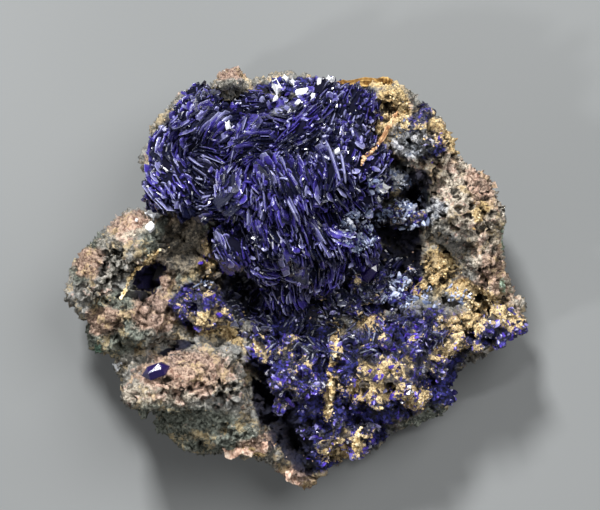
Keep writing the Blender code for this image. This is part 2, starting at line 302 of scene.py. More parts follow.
def remeshed(mesh, voxel, smoothing=None, swell=0.0):
    """The mesh in even voxels (mm), smoothed by a factor in rounds, then swollen (mm)."""
    work = new_object("work", mesh)
    voxels = work.modifiers.new("voxels", "REMESH")
    voxels.mode, voxels.voxel_size = "VOXEL", voxel * MM
    if smoothing:
        smooth = work.modifiers.new("smooth", "SMOOTH")
        smooth.factor, smooth.iterations = smoothing
    if swell:
        moved = work.modifiers.new("swell", "DISPLACE")
        moved.strength, moved.mid_level = swell * MM, 0
    made = evaluated_mesh(work)
    bpy.data.objects.remove(work)
    return made


def roughen(mesh, per_mm, share, finer, level, depth):
    """Pushes the mesh in and out by noise of two sizes, and returns the noise."""
    points = vertex_array(mesh)
    places = points / MM * per_mm
    bumps = noise_values(places) + share * noise_values(places * finer)
    points += normal_array(mesh) * ((bumps - level) * depth * MM)[:, None]
    mesh.vertices.foreach_set("co", points.astype(np.float32).ravel())
    return bumps


def set_trait(mesh, name, values):
    layer = mesh.attributes.get(name) or mesh.attributes.new(name, "FLOAT", "POINT")
    layer.data.foreach_set("value", np.asarray(values, np.float32))


def set_direction(mesh, name, values):
    layer = mesh.attributes.get(name) or mesh.attributes.new(name, "FLOAT_VECTOR", "POINT")
    layer.data.foreach_set("vector", np.asarray(values, np.float32).ravel())


def in_frame(point):
    """A point of the part's tables, in metres of the frame."""
    return (Vector(point) - SOLIDS_SHIFT) * SOLIDS_SCALE * MM


def patch_mask(points, patches):
    """How far each point lies inside soft ellipses seen from above: 1 at their middles, 0 outside."""
    found = np.zeros(len(points))
    for (x, y), (half_x, half_y), turn in patches:
        centre = in_frame((x, y, 0))
        dx, dy = points[:, 0] - centre.x, points[:, 1] - centre.y
        c, s = math.cos(math.radians(turn)), math.sin(math.radians(turn))
        u, v = (dx * c + dy * s) / (half_x * MM), (dy * c - dx * s) / (half_y * MM)
        inside = np.clip(1.35 - np.sqrt(u * u + v * v), 0, 1)
        found = np.maximum(found, inside * inside * (3 - 2 * inside))
    return found


# ---------------------------------------------------------------- where each finish of the rock lies

# Patches seen from above: place, half sizes, turn in degrees.
PATCHES = {
    "ochre": [
        ((13, 23), (2.8, 3.6), 0), ((20, 19.4), (4.2, 1.7), -42), ((24.5, 9), (1.6, 2.0), 0),
        ((12, 20.5), (3.0, 2.6), 40), ((10, 26.6), (4.2, 1.2), 0), ((10.6, 17.6), (3.6, 1.0), 45),
        ((19.3, 1.4), (3.2, 3.6), 0), ((23.2, -1.6), (3.6, 1.8), -20), ((22.5, -5.6), (4.2, 2.0), 10),
        ((10.1, -5.8), (2.6, 1.8), 0),
        ((10.4, -14.5), (5.4, 3.2), 10), ((5.2, -8.5), (1.1, 4.0), 0), ((4.6, -16), (1.2, 4.5), -6),
        ((25.5, -3.4), (3.8, 2.2), -20), ((29.5, -6), (2.5, 1.6), -15), ((6.5, -23), (4.5, 2.2), 15),
        ((-6.3, -23.4), (3.4, 0.9), 0), ((-20.0, 2.2), (3.4, 0.8), 55), ((-11.8, -5.6), (3.2, 2.4), 0),
        ((-14.8, 23.7), (0.9, 0.8), 0), ((17, -1.2), (2.4, 1.4), 20), ((-5.0, -9.5), (2.0, 1.0), -40),
        ((16, -16), (3, 2), 20), ((-12.0, 2.5), (2.0, 4.0), 0), ((17, 19), (2.5, 2.0), -40),
        ((-9.5, -7.5), (3.0, 1.2), -20), ((-8.5, 6.0), (1.5, 4.0), 10), ((21, -9.5), (3, 1.8), 25),
    ],
    "rust": [
        ((-17.6, 0.5), (1.6, 3.2), 20), ((-17.5, -6), (2.5, 1.2), 30),
        ((-8.8, 28), (2.8, 1.8), 0), ((-28.2, 2.4), (3.2, 2.6), 0), ((-23, 7.5), (3.4, 1.8), 20),
        ((-26, -5.6), (3.6, 2.2), 20), ((-14.5, -12.2), (7.5, 3.2), 0), ((-5.6, -22.5), (3.2, 1.6), 0),
        ((0.5, -27.5), (3.0, 1.6), -25), ((26.6, 1.2), (2.6, 3.2), 0), ((24.5, 12.5), (2.6, 4.2), 20),
        ((-19.5, -4), (3.6, 3.2), 0), ((13.5, 17), (1.8, 1.4), 0), ((28, -2), (2.0, 2.2), 0),
        ((24, -1.5), (3.4, 1.2), -35), ((-15, 8), (3, 2), 0),
    ],
    "green": [((28.6, 5.3), (1.2, 2.8), 0), ((17.7, 11.5), (0.7, 1.2), 0), ((-28.0, -10), (1.0, 0.9), 0),
              ((28.3, -1.2), (0.9, 1.5), 0)],
    # painted shade: near-black where the cleft, the vug and the hollows under the rosette and its left wing lie in
    # shadow
    "shade": [
        ((-1.9, -19.5), (3.3, 10), 24), ((7.6, 0.2), (13.0, 3.6), 14),
        ((-16.4, -9.2), (3.6, 0.9), 12), ((-7.0, -2), (4.2, 4.5), 0), ((0, 12), (15, 12), 0),
        ((-13, 17), (7, 8), 0), ((3.5, -3), (9, 3), 10), ((16.2, 11.6), (2.2, 3.8), -20),
        ((14.0, 6.4), (4.0, 2.8), -30),
    ],
    "pale": [((22.5, 12), (6, 9.5), 32), ((26.5, 4), (4, 7), 10), ((13, 21), (4, 4), 0),
             ((27, -3), (4, 5), 30), ((30, -6), (3, 3), 0), ((28, 2), (3, 7), 8),
             ((-15.5, -13.5), (8, 3.4), 4), ((-21, -15.5), (3.5, 2.0), -10), ((-22, 7), (4, 2), 30)],
    "porous": [((12.5, 22.5), (1.8, 1.8), 0), ((19.3, 1.4), (2.4, 2.8), 0), ((22, 13), (6.5, 11), 32),
               ((27, 0), (4, 8), 10), ((-24, 0), (3, 4), 0), ((-12, -14), (7, 2), 0)],
    # a dark green-grey: partly the rock's own colour, partly painted shade on the lower, down-facing faces of the
    # foot and the left lumps
    "moss": [((-14, -20), (11, 4), -12), ((-25.5, -8), (7, 4), 20), ((-29, 3), (3, 4), 0),
             ((-24, -3), (4, 2), 20), ((-16, 4), (6, 6), 0), ((19, -17), (7, 3), 40)],
    # The socket is sunk by the relief; its inside is painted near-black navy as painted shade.
    "socket": [((-20.4, 0.0), (2.3, 1.9), 60), ((-19.0, 1.3), (1.5, 1.2), 0)],
    # The walls take a darker brown-grey: partly their own brown colour, partly painted shade under the rosette's
    # wing and in the hollow by the ridge.
    "wall": [((-15.5, 4.5), (3.6, 5.2), -20), ((-11.5, -0.5), (2.5, 2.5), 0), ((15.2, 4.4), (3.2, 2.2), 10)],
    "steel": [((15.2, 18.4), (3.8, 3.2), -20), ((13.4, 13.6), (2.4, 2.0), 0), ((17.5, 9.0), (3.5, 2.0), 25)],
    "azure": [
        ((0.5, 25.8), (8, 1.7), 0), ((1, -20), (3, 5), 20),
        ((12, -12.5), (17, 9), 28), ((2, -9.5), (9, 5), -20),
        ((-1.5, -12.2), (7.0, 4.8), -36), ((7.6, -21.5), (6.4, 3.4), 12), ((14.8, -11), (10.5, 6.4), 30),
        ((26.5, -6.5), (4.6, 3.0), 25), ((-13, -3.5), (4.6, 4.2), 0), ((10, -1.8), (10, 3.6), 14),
        ((-2.0, -5.0), (5, 3.6), -20), ((20, -14), (4.5, 4.5), 30), ((3, -24), (4.5, 3), 10),
        ((5, -15), (4, 6), 0), ((-10.5, 3), (3, 5), 0), ((18.2, 18.0), (2.2, 3.4), -30),
    ],
}


def paint(mesh):
    """Stores where each finish lies on the mesh, for its material and its relief.

    The patches wander sideways, more so further down, so no stripe runs straight down a side.
    """
    points = vertex_array(mesh)
    reach = np.clip((15 - points[:, 2] / MM) * 0.45, 0.8, 5.0)
    for axis in range(2):
        wander = noise_values(points / MM * (0.16, 0.16, 0.3) + 17 * axis)
        points[:, axis] += wander * reach * MM
    for name, patches in PATCHES.items():
        set_trait(mesh, name, patch_mask(points, patches))


def growth(mesh, patch, per_mm, low, high, salt, level=-0.05):
    """Where a crust takes hold on the mesh: its patches broken up by noise, on faces that look up."""
    points = vertex_array(mesh)
    broken = noise_values(points / MM * per_mm + salt)
    held = trait_array(mesh, patch) if patch else np.ones(len(points), np.float32)
    share = np.clip((broken + held * 0.9 - 0.9 - low) / (high - low), 0, 1)
    share[normal_array(mesh)[:, 2] < level] = 0
    if "cavity" in mesh.attributes:
        share *= np.clip(1.3 - trait_array(mesh, "cavity") * 2.5, 0, 1)
    return share


# ---------------------------------------------------------------- finishes


def gossan_finish():
    """Limonite gossan: grey-brown crust with rust, ochre and pale pitted ground, and painted shade darkening its
    hollows, crevices and pits.
    """
    f = Finish("gossan", 0.86, specular=0.3)
    warp = f.noise(0.22, 4, 0.6)
    coarse = f.noise(0.6, 5, 0.65)
    fine = f.noise(2.4, 6, 0.7)
    grit = f.noise(7.5, 4, 0.75)
    creased = node(f.tree, "ShaderNodeTexNoise", {"noise_type": "RIDGED_MULTIFRACTAL"}, {
        "Vector": f.place, "Scale": 1.3, "Detail": 6.0, "Roughness": 0.65, "Distortion": 0.6})
    grain_tone = node(f.tree, "ShaderNodeSeparateColor", None, {"Color": f.cells(2.8, output="Color")})
    cavity = f.trait("cavity")
    value = fine * 0.52 + coarse * 0.22 + grit * 0.2 + grain_tone * 0.1 - 0.02
    ground = node(f.tree, "ShaderNodeValToRGB", {"stops": [
        (0.38, (0.035, 0.035, 0.028)), (0.45, (0.12, 0.115, 0.095)), (0.51, (0.26, 0.245, 0.21)),
        (0.57, (0.42, 0.395, 0.35)), (0.65, (0.74, 0.69, 0.62))]}, {0: value})
    greyed = f.mix(warp.ease(0.42, 0.6), ground, f.mix(0.5, ground, (0.33, 0.34, 0.34)))
    pale = f.mix((f.trait("pale") + coarse - 0.7).ease(0.1, 0.7) * 0.9, greyed,
                 f.mix(value.ease(0.38, 0.62), (0.15, 0.12, 0.085), (0.86, 0.76, 0.62)))
    pale = f.mix((f.noise(0.55, 4, 0.7) + coarse * 0.2 + f.trait("pale") * 0.08).ease(0.68, 0.75) * 0.6, pale,
                 f.mix(value.ease(0.4, 0.6), (0.30, 0.15, 0.11), (0.84, 0.58, 0.48)))
    # Partly painted shade: the lower faces darkened to a dark green-grey.
    green_grey_and_shaded = f.mix((f.trait("moss") + warp - 0.55).ease(0.1, 0.7) * 0.85, pale,
                  f.mix(value.ease(0.38, 0.62), (0.018, 0.024, 0.016), (0.25, 0.28, 0.23)))
    rust = f.mix((f.trait("rust") * 0.7 + coarse + warp - 1.05).ease(0.15, 0.5) * 0.65, green_grey_and_shaded,
                 f.mix(value.ease(0.38, 0.62), (0.14, 0.06, 0.035), (0.74, 0.48, 0.36)))
    yellowed = f.mix((f.noise(0.35, 5, 0.7) + fine * 0.3).ease(0.66, 0.78) * 0.55, rust, (0.72, 0.54, 0.28))
    ochre = f.mix((f.trait("ochre") * 0.8 + coarse + fine * 0.5 - 0.85).ease(0.2, 0.6), yellowed,
                  f.mix(value.ease(0.40, 0.58), (0.17, 0.085, 0.025), (0.88, 0.66, 0.32)))
    bright = f.mix((f.trait("ochre") * fine * 1.8).ease(0.75, 1.15), ochre, (0.94, 0.80, 0.50))
    green = f.mix((f.trait("green") * 0.8 + fine - 0.6).ease(0.3, 0.7) * 0.8, bright,
                  f.mix(value.ease(0.4, 0.6), (0.04, 0.14, 0.08), (0.38, 0.60, 0.46)))
    inky = f.mix((f.trait("azure") + coarse * 0.8 + fine * 0.4 - 0.7).ease(0.35, 0.65), green,
                 f.mix(grain_tone.ease(0.3, 0.95), (0.006, 0.007, 0.03), (0.04, 0.04, 0.26)))
    crusted = f.mix((f.trait("ochre") + f.trait("azure") * 0.3 + fine * 1.4 + coarse * 0.8 - 2.0).ease(0.0,
        0.22), inky,
                    f.mix(grit.ease(0.35, 0.65), (0.34, 0.19, 0.07), (0.92, 0.74, 0.42)))
    steel = f.mix((f.trait("steel") + fine * 0.6 - 0.4).ease(0.3, 0.7) * 0.85, crusted,
                  f.mix(value.ease(0.4, 0.6), (0.10, 0.12, 0.17), (0.78, 0.81, 0.86)))
    # Walls: a darker brown-grey, partly painted shade.
    walled = f.mix((f.trait("wall") + coarse * 0.6 - 0.5).ease(0.1, 0.5) * 0.9, steel,
                   f.mix((value * 0.6 + f.noise(0.9, 4, 0.7) * 0.4).ease(0.44, 0.6), (0.05, 0.047, 0.045),
                         (0.38, 0.32, 0.24)))
    # Painted shade: near-black navy where the shade patches lie in shadow.
    shade = f.mix((f.trait("shade") + coarse * 0.9 + fine * 0.3 - 0.85).ease(0.1, 0.4) * 0.96, walled,
                  (0.007, 0.008, 0.026))
    # Painted shade: the inside of the socket painted near-black navy.
    shade = f.mix((f.trait("socket") + coarse * 1.2 - 0.75).ease(0.1, 0.25), shade, (0.008, 0.006, 0.04))
    # Painted shade: crevices, pits and the gaps between clumps, kept as the cavity trait, darkened to near black.
    f.join("Base Color", f.mix(cavity.ease(0.12, 0.6) * 0.9, shade, (0.012, 0.011, 0.010)))
    f.join("Roughness", 0.95 - f.trait("azure") * 0.35)
    f.bump((coarse, 0.5, 0.8), (creased, 0.8, 0.3), (fine, 0.7, 0.35), (grit, 1.0, 0.2))
    return f.material


def azurite_finish(name, shaded, lit, sheen, roughness, coat=0.4, specular=0.5):
    """Azurite crystals: from a painted-shade near black through violet blue to dull lavender faces, partly etching
    and partly painted sheen, with painted highlights on a share of rims; finely striated.
    """
    f = Finish(name, roughness, ior=1.73, coat=coat, specular=specular)
    f.shader.inputs["Coat Roughness"].default_value = 0.08
    tone = f.trait("tone")
    cloud = f.noise(0.8, 4, 0.6)
    fine = f.noise(4.0, 4, 0.7)
    # Painted shade: random tone and broad noise patches darken the crystals from the lit colour towards the shaded
    # near-black colour.
    shade = tone * 0.65 + cloud * 0.6 + fine * 0.1 + (f.noise(0.27, 2) - 0.5) * 1.1
    body = f.mix(shade.ease(0.5, 1.05), shaded, lit)
    # Dull lavender faces: partly etching, partly painted sheen.
    etched = f.mix((tone * 0.8 + cloud * 0.6).ease(0.90, 1.06) * 0.65, body, [c * 0.4 for c in sheen])
    # Painted highlight: lavender lines on the rims of a share of the blades.
    rim_highlight = (f.trait("rim") * 0.55 + tone * 0.45 + fine * 0.5).ease(1.01, 1.24)
    f.join("Base Color", f.mix(rim_highlight * 0.85, etched, sheen))
    f.join("Roughness", roughness + cloud.ease(0.45, 0.7) * 0.15 + fine * 0.1)
    along = shift(f.tree, f.trait("grain", "Vector"), (0.5, 5.0, 5.0), "MULTIPLY")
    lines = f.noise(1.0, 3, 0.7, along)
    f.bump((lines, 0.35, 0.08), (fine, 0.3, 0.08))
    return f.material


def druse_finish():
    """The bed of a druse: sugary royal blue grains with ochre crust caught between them."""
    f = Finish("azurite_bed", 0.45, ior=1.6)
    coarse = f.noise(0.5, 4, 0.6)
    fine = f.noise(2.6, 5, 0.65)
    grains = f.cells(2.2, output="Color")
    tone = node(f.tree, "ShaderNodeSeparateColor", None, {"Color": grains})
    blue = f.mix((tone + coarse - 0.5).ease(0.4, 1.05), (0.005, 0.006, 0.02), (0.035, 0.025, 0.30))
    grit = f.noise(7.0, 3, 0.7)
    ochre = f.mix((fine * 0.55 + grit * 0.45).ease(0.40, 0.60), (0.13, 0.075, 0.03), (0.84, 0.66, 0.36))
    crust = (coarse * 0.9 + fine * 0.4 + f.trait("ochre") * 0.22).ease(0.70, 0.78)
    body = f.mix(crust, blue, ochre)
    # Painted shade: the low places of the bed darkened to near black.
    f.join("Base Color", f.mix(f.trait("cavity").ease(0.1, 0.9) * 0.9, body, (0.006, 0.006, 0.014)))
    f.join("Roughness", 0.35 + crust * 0.5)
    f.bump((f.cells(2.2), 0.6, 0.25), (fine, 0.8, 0.3), (grit, 1.0, 0.15))
    return f.material


def crumb_finish(name, dark, light, tint):
    """Loose grains of the crust, each a little paler or browner than the next."""
    f = Finish(name, 0.95, specular=0.1)
    fine = f.noise(3.5, 4, 0.7)
    tone = f.trait("tone")
    body = f.mix((tone * 0.6 + fine * 0.8 - 0.25).ease(0.1, 0.8), dark, light)
    f.join("Base Color", f.mix((f.noise(0.7, 3) + tone * 0.4 - 0.7).ease(0.0, 0.2), body, tint))
    f.join("Roughness", 0.8 + fine * 0.2)
    f.bump((fine, 0.8, 0.15))
    return f.material


def grain_finish(name, light, dark):
    """A milky grain with faint cloudy zones."""
    f = Finish(name, 0.3, ior=1.6, coat=0.3)
    cloud = f.noise(1.6, 4, 0.6)
    f.join("Base Color", f.mix(cloud.ease(0.35, 0.7), light, dark))
    f.join("Roughness", 0.25 + cloud * 0.4)
    f.bump((f.noise(4.0), 0.4, 0.1))
    return f.material


GOSSAN = gossan_finish()
ROSETTE_BLUE = azurite_finish("azurite_violet", (0.005, 0.006, 0.022), (0.050, 0.034, 0.29),
                              (0.48, 0.50, 0.74), 0.15)
DRUSE_BLUE = azurite_finish("azurite_royal", (0.006, 0.006, 0.03), (0.085, 0.040, 0.52), (0.60, 0.60, 0.86),
                            0.2)
# A darker copy of the azurite: painted shade in the vug under the rosette, and the darker crystals of the
# shoulder.
INK_AND_SHADE_BLUE = azurite_finish("azurite_ink", (0.008, 0.010, 0.022), (0.035, 0.03, 0.14), (0.50, 0.54, 0.64), 0.16)
LEDGE_BLUE = azurite_finish("azurite_steel", (0.10, 0.13, 0.22), (0.46, 0.52, 0.74), (0.88, 0.91, 0.98), 0.2)
# Painted shade: the rosette's mass under the blades is near black, so the gaps between the blades look black.
ROOT_SHADE_BLUE = azurite_finish("azurite_root", (0.003, 0.003, 0.010), (0.010, 0.008, 0.05), (0.02, 0.02, 0.05),
                           0.85, 0.0, 0.05)
GEM_BLUE = azurite_finish("azurite_gem", (0.008, 0.003, 0.05), (0.045, 0.014, 0.30), (0.3, 0.2, 0.7), 0.08)
BED = druse_finish()
OCHRE_CRUMB = crumb_finish("ochre_crumb", (0.22, 0.13, 0.05), (0.80, 0.60, 0.30), (0.86, 0.74, 0.48))
FLAP_BROWN = crumb_finish("flap_brown", (0.05, 0.02, 0.005), (0.22, 0.115, 0.03), (0.46, 0.30, 0.11))
VEIN_RUST = crumb_finish("vein_rust", (0.10, 0.04, 0.02), (0.50, 0.28, 0.14), (0.66, 0.46, 0.28))
PEACH_CRUMB = crumb_finish("peach_crumb", (0.22, 0.13, 0.095), (0.66, 0.45, 0.34), (0.62, 0.50, 0.40))
GREY_CRUMB = crumb_finish("grey_crumb", (0.07, 0.06, 0.05), (0.50, 0.45, 0.39), (0.46, 0.30, 0.22))
WHITE = grain_finish("cerussite_white", (0.86, 0.87, 0.88), (0.60, 0.62, 0.66))


# ---------------------------------------------------------------- the rock

ROCK_VOXEL = 0.23
ROCK_TRIANGLES = 196000


def relief_rule():
    """Pushes the rock's surface in and out in two passes: chunks and crevices, then knobs, pits and grit.

    The relief fades out at the flat back. What ends up sunk is kept as the trait "cavity", which the finish
    darkens as painted shade.
    """
    r = Rule("rock_relief", Chunk=0.9, Crevice=1.5, Ridge=0.42, Terrace=0.8, Facet=0.6,
             Knob=0.04, Ledge=0.45, Pit=1.5, Socket=1.8, Clump=6.5, Grit=0.09)
    t = r.tree

    def place():
        return shift(t, r.node("GeometryNodeInputPosition"), 1 / MM, "SCALE")

    def clouds(per_mm, detail, where, output=0):
        return r.node("ShaderNodeTexNoise", None,
                      {"Vector": where, "Scale": per_mm, "Detail": detail, "Roughness": 0.6}, output)

    def warped(where, per_mm, reach):
        return shift(t, where, shift(t, clouds(per_mm, 3.0, where, 1), (reach,) * 3, "MULTIPLY"))

    def pushed(geometry, push):
        spot = place()
        split = t.nodes.new("ShaderNodeSeparateXYZ")
        t.links.new(spot.socket, split.inputs[0])
        fade = Field(t, split.outputs[2]).ease(0.1, 2.0)
        step = shift(t, r.node("GeometryNodeInputNormal"), push * fade * MM, "SCALE")
        return r.node("GeometryNodeSetPosition", None, {"Geometry": geometry, "Offset": step})

    def kept(geometry, name, value):
        return r.node("GeometryNodeStoreNamedAttribute", {"domain": "POINT", "data_type": "FLOAT"},
                      {"Geometry": geometry, "Name": name, "Value": value})

    spot = warped(place(), 0.4, 2.6)
    edges = r.node("ShaderNodeTexVoronoi", {"feature": "DISTANCE_TO_EDGE"}, {"Vector": spot, "Scale": 0.34})
    crack = edges.ease(0.16, 0.0) * clouds(0.35, 2.0, spot).ease(0.40, 0.6)
    coarse = (clouds(0.28, 3.0, spot) - 0.5) * r.size("Chunk") * 2 - crack * r.size("Crevice")
    first = kept(pushed(r.size("Geometry"), coarse), "cavity", crack * 0.6)

    spot = warped(place(), 0.9, 1.1)
    knobs = r.node("ShaderNodeTexVoronoi", None, {"Vector": spot, "Scale": 0.75})
    seeds = r.node("ShaderNodeTexVoronoi", None, {"Vector": spot, "Scale": 1.7})
    holes = r.node("ShaderNodeTexVoronoi", {"feature": "SMOOTH_F1"},
                   {"Vector": spot, "Scale": 0.8, "Smoothness": 0.2})
    pores = r.node("ShaderNodeTexVoronoi", {"feature": "SMOOTH_F1"},
                   {"Vector": spot, "Scale": 1.5, "Smoothness": 0.25})
    beds = clouds(0.75, 3.0, shift(t, spot, (0.45, 1.2, 2.4), "MULTIPLY")) - 0.5
    where = clouds(0.5, 2.0, spot).ease(0.38, 0.46)
    hole = holes.ease(0.46, 0.28) * r.trait("porous").ease(0.0, 0.5) * where + pores.ease(0.34,
        0.2) * (r.trait("porous") * 0.3 + 0.14)
    blocks = r.node("ShaderNodeTexVoronoi", None, {"Vector": spot, "Scale": 0.5}, "Color")
    facets = r.node("FunctionNodeSeparateColor", None, {"Color": blocks})
    rough = clouds(0.3, 2.0, spot).ease(0.36, 0.6, 0.25, 1.0)
    sharp = r.node("ShaderNodeTexNoise", {"noise_type": "RIDGED_MULTIFRACTAL"},
                   {"Vector": spot, "Scale": 0.55, "Detail": 5.0, "Roughness": 0.6, "Offset": 0.9,
                    "Gain": 1.6})
    push = ((0.5 - knobs) * r.size("Knob") + (0.5 - seeds) * r.size("Knob") * 0.8) * rough
    push = push + (sharp - 0.7).least(0.7) * r.size("Ridge") * rough + (facets - 0.5) * r.size("Facet")
    height = clouds(0.26, 3.0, shift(t, warped(place(), 0.15, 5.0), (0.7, 1.1, 1.7), "MULTIPLY")) * 15
    part = height.maths("FRACT", height)
    push = push + (part.ease(0.72, 1.0) - part) * r.size("Terrace")
    push = push + (clouds(0.36, 3.0, spot) - 0.52) * r.trait("azure") * r.size("Clump")
    push = push - (r.trait("socket") + (clouds(0.7, 3.0, spot) - 0.5) * 1.6).ease(0.25,
        0.5) * r.size("Socket")
    push = push + (1 - beds.maths("ABSOLUTE", beds) * 6).most(0) * r.size("Ledge")
    push = push - hole * r.size("Pit")
    push = push + (clouds(2.2, 4.0, spot) - 0.5) * r.size("Grit") * 3
    second = kept(first, "cavity", r.trait("cavity") + hole * 0.9 + (0.45 - sharp).most(0) * 0.9
                  + (0.47 - clouds(0.36, 3.0, spot)).most(0) * r.trait("azure") * 7)
    r.end(pushed(second, push))
    return r


# Lumps that fill the gap between the rosette and the top of the ridge: centre, half sizes.
ROCK_FILLS = [((12.3, 20.8, 22.8), (2.7, 2.2, 2.3)), ((11.0, 18.2, 22.2), (1.7, 2.0, 2.3)),
              ((15.2, 18.4, 22.6), (2.9, 2.7, 2.2)), ((17.6, 15.2, 20.6), (2.2, 2.4, 2.0)),
              ((13.6, 13.6, 17.6), (2.4, 2.0, 2.6)), ((18.7, 2.6, 13.4), (1.7, 1.9, 2.1)),
              ((20.3, 0.8, 13.4), (1.8, 1.5, 2.1)), ((18.0, -0.3, 13.2), (1.6, 1.2, 2.0)),
              ((23.0, -1.8, 14.0), (3.2, 1.6, 2.6))]


def add_balls(mesh, balls, detail=3):
    """The mesh with a stretched ball added for each centre and half sizes."""
    bm = bmesh.new()
    bm.from_mesh(mesh)
    for centre, half in balls:
        for vert in bmesh.ops.create_icosphere(bm, subdivisions=detail, radius=1)["verts"]:
            vert.co = Vector([a * b for a, b in zip(vert.co, half)]) * MM + in_frame(centre)
    made = bpy.data.meshes.new(f"{mesh.name}_balls")
    bm.to_mesh(made)
    bm.free()
    return made


def make_rock():
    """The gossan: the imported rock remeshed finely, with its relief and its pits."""
    mesh = remeshed(add_balls(merged_copy("matrix"), ROCK_FILLS), ROCK_VOXEL, (0.5, 2))
    paint(mesh)
    work = new_object("rock_work", mesh)
    work.data = relief_rule().apply(work)
    points = vertex_array(work.data)
    points[:, 2] = np.maximum(points[:, 2], 0)
    work.data.vertices.foreach_set("co", points.astype(np.float32).ravel())
    triangles = sum(len(p.vertices) - 2 for p in work.data.polygons)
    thin = work.modifiers.new("thin", "DECIMATE")
    thin.ratio = min(1.0, ROCK_TRIANGLES / triangles)
    mesh = evaluated_mesh(work)
    bpy.data.objects.remove(work)
    paint(mesh)
    mesh.materials.clear()
    mesh.materials.append(GOSSAN)
    mesh.shade_smooth()
    return new_object("gossan_rock", mesh)


# ---------------------------------------------------------------- crystals


def plate(name, corners, rim):
    """A thin six-sided plate two units across, its rims bevelled to both faces; rim is the faces' share."""
    points, faces, count = [], [], len(corners)
    for level, share in ((-1, rim), (0, 1.0), (1, rim)):
        points += [(x * share, y * share + (1 - share) * 0.1, level) for x, y in corners]
    faces.append(list(range(count))[::-1])
    faces.append(list(range(2 * count, 3 * count)))
    for low in (0, count):
        for i in range(count):
            j = (i + 1) % count
            faces.append([low + i, low + j, low + count + j, low + count + i])
    mesh = outward(mesh_of(name, points, faces))
    set_direction(mesh, "grain", vertex_array(mesh))
    set_trait(mesh, "rim", [0.0] * count + [1.0] * count + [0.0] * count)
    return mesh


def stub(name, sides, taper, lean, flat):
    """A short prism one unit wide and two tall with a bevelled, slightly slanting end."""
    points, faces = [], []
    for height, share in ((-1.0, 1.0), (0.55, 1.0), (1.0, taper)):
        for i in range(sides):
            a = 2 * math.pi * i / sides + 0.2 * math.sin(3 * i)
            points.append((math.cos(a) * share + lean * max(height, 0), math.sin(a) * share * flat,
                           height + 0.12 * math.cos(a) * (height > 0)))
    for low in (0, sides):
        for i in range(sides):
            j = (i + 1) % sides
            faces.append([low + i, low + j, low + sides + j, low + sides + i])
    faces.append(list(range(sides))[::-1])
    faces.append(list(range(2 * sides, 3 * sides)))
    mesh = outward(mesh_of(name, points, faces))
    set_direction(mesh, "grain", vertex_array(mesh)[:, [2, 0, 1]])
    set_trait(mesh, "rim", [0.0] * sides + [0.3] * sides + [0.85] * sides)
    return mesh


def lump(name, seed):
    """A small angular grain of twenty faces."""
    draw = random.Random(seed)
    bm = bmesh.new()
    bmesh.ops.create_icosphere(bm, subdivisions=1, radius=1)
    for vert in bm.verts:
        vert.co *= draw.uniform(0.7, 1.25)
    mesh = bpy.data.meshes.new(name)
    bm.to_mesh(mesh)
    bm.free()
    return mesh


def hidden_object(mesh):
    made = new_object(mesh.name, mesh)
    made.hide_render = True
    return made


BLADE_SHAPES = [
    hidden_object(plate("blade_long", [(-1, -0.4), (-0.72, 0.55), (-0.2, 1), (0.45, 0.94), (1, 0.3),
                                       (0.5, -1), (-0.5, -1)], 0.86)),
    hidden_object(plate("blade_square", [(-0.95, -0.7), (-0.8, 0.8), (-0.1, 1), (0.85, 0.82), (1, -0.1),
                                         (0.6, -1)], 0.8)),
    hidden_object(plate("blade_point", [(-0.8, -1), (-1, 0.1), (-0.45, 0.8), (0.15, 1.05), (0.7, 0.7),
                                        (0.85, -0.8)], 0.84)),
]
STUB_SHAPES = [
    hidden_object(stub("stub_slant", 5, 0.4, 0.2, 0.7)),
    hidden_object(stub("stub_wedge", 4, 0.45, 0.1, 0.8)),
    hidden_object(stub("stub_flat", 6, 0.72, 0.1, 0.42)),
]

LUMP_SHAPES = [hidden_object(lump(f"lump_{i}", i)) for i in range(3)]


def choice(rule, labels, salt):
    """One of the shapes for each point: an instance list and a random index."""
    t = rule.tree
    join = t.nodes.new("GeometryNodeJoinGeometry")
    for label in reversed(labels):
        shape = rule.node("GeometryNodeObjectInfo", {"transform_space": "ORIGINAL"},
                          {"Object": rule.size(label), "As Instance": True}, "Geometry")
        t.links.new(shape.socket, join.inputs[0])
    index = rule.node("FunctionNodeRandomValue", {"data_type": "INT"},
                      {4: 0, 5: len(labels) - 1, "Seed": rule.size("Seed") + salt}, 2)
    return Field(t, join.outputs[0]), index


def finish_instances(rule, points, shapes, index, turn, scale, material_name):
    """Instances at the points, each with a tone, realised and given their material."""
    made = rule.node("GeometryNodeInstanceOnPoints", None, {
        "Points": points, "Instance": shapes, "Pick Instance": True, "Instance Index": index,
        "Rotation": turn, "Scale": scale})
    toned = rule.node("GeometryNodeStoreNamedAttribute", {"domain": "INSTANCE", "data_type": "FLOAT"},
                      {"Geometry": made, "Name": "tone", "Value": rule.chance(0.0, 1.0, 77)})
    real = rule.node("GeometryNodeRealizeInstances", None, {0: toned})
    return rule.node("GeometryNodeSetMaterial", None,
                     {"Geometry": real, "Material": bpy.data.materials[material_name]})


def spread(rule):
    """Points strewn on the surface where its growth allows, and their normals and turns."""
    spots = rule.tree.nodes.new("GeometryNodeDistributePointsOnFaces")
    spots.distribute_method = "POISSON"
    for key, value in {"Mesh": rule.size("Geometry"), "Distance Min": rule.size("Spacing") * MM,
                       "Density Max": rule.size("Density") * PER_MM2,
                       "Density Factor": rule.trait("growth"), "Seed": rule.size("Seed")}.items():
        rule.tree.links.new(value.socket, spots.inputs[key])
    return [Field(rule.tree, spots.outputs[key]) for key in ("Points", "Normal", "Rotation")]


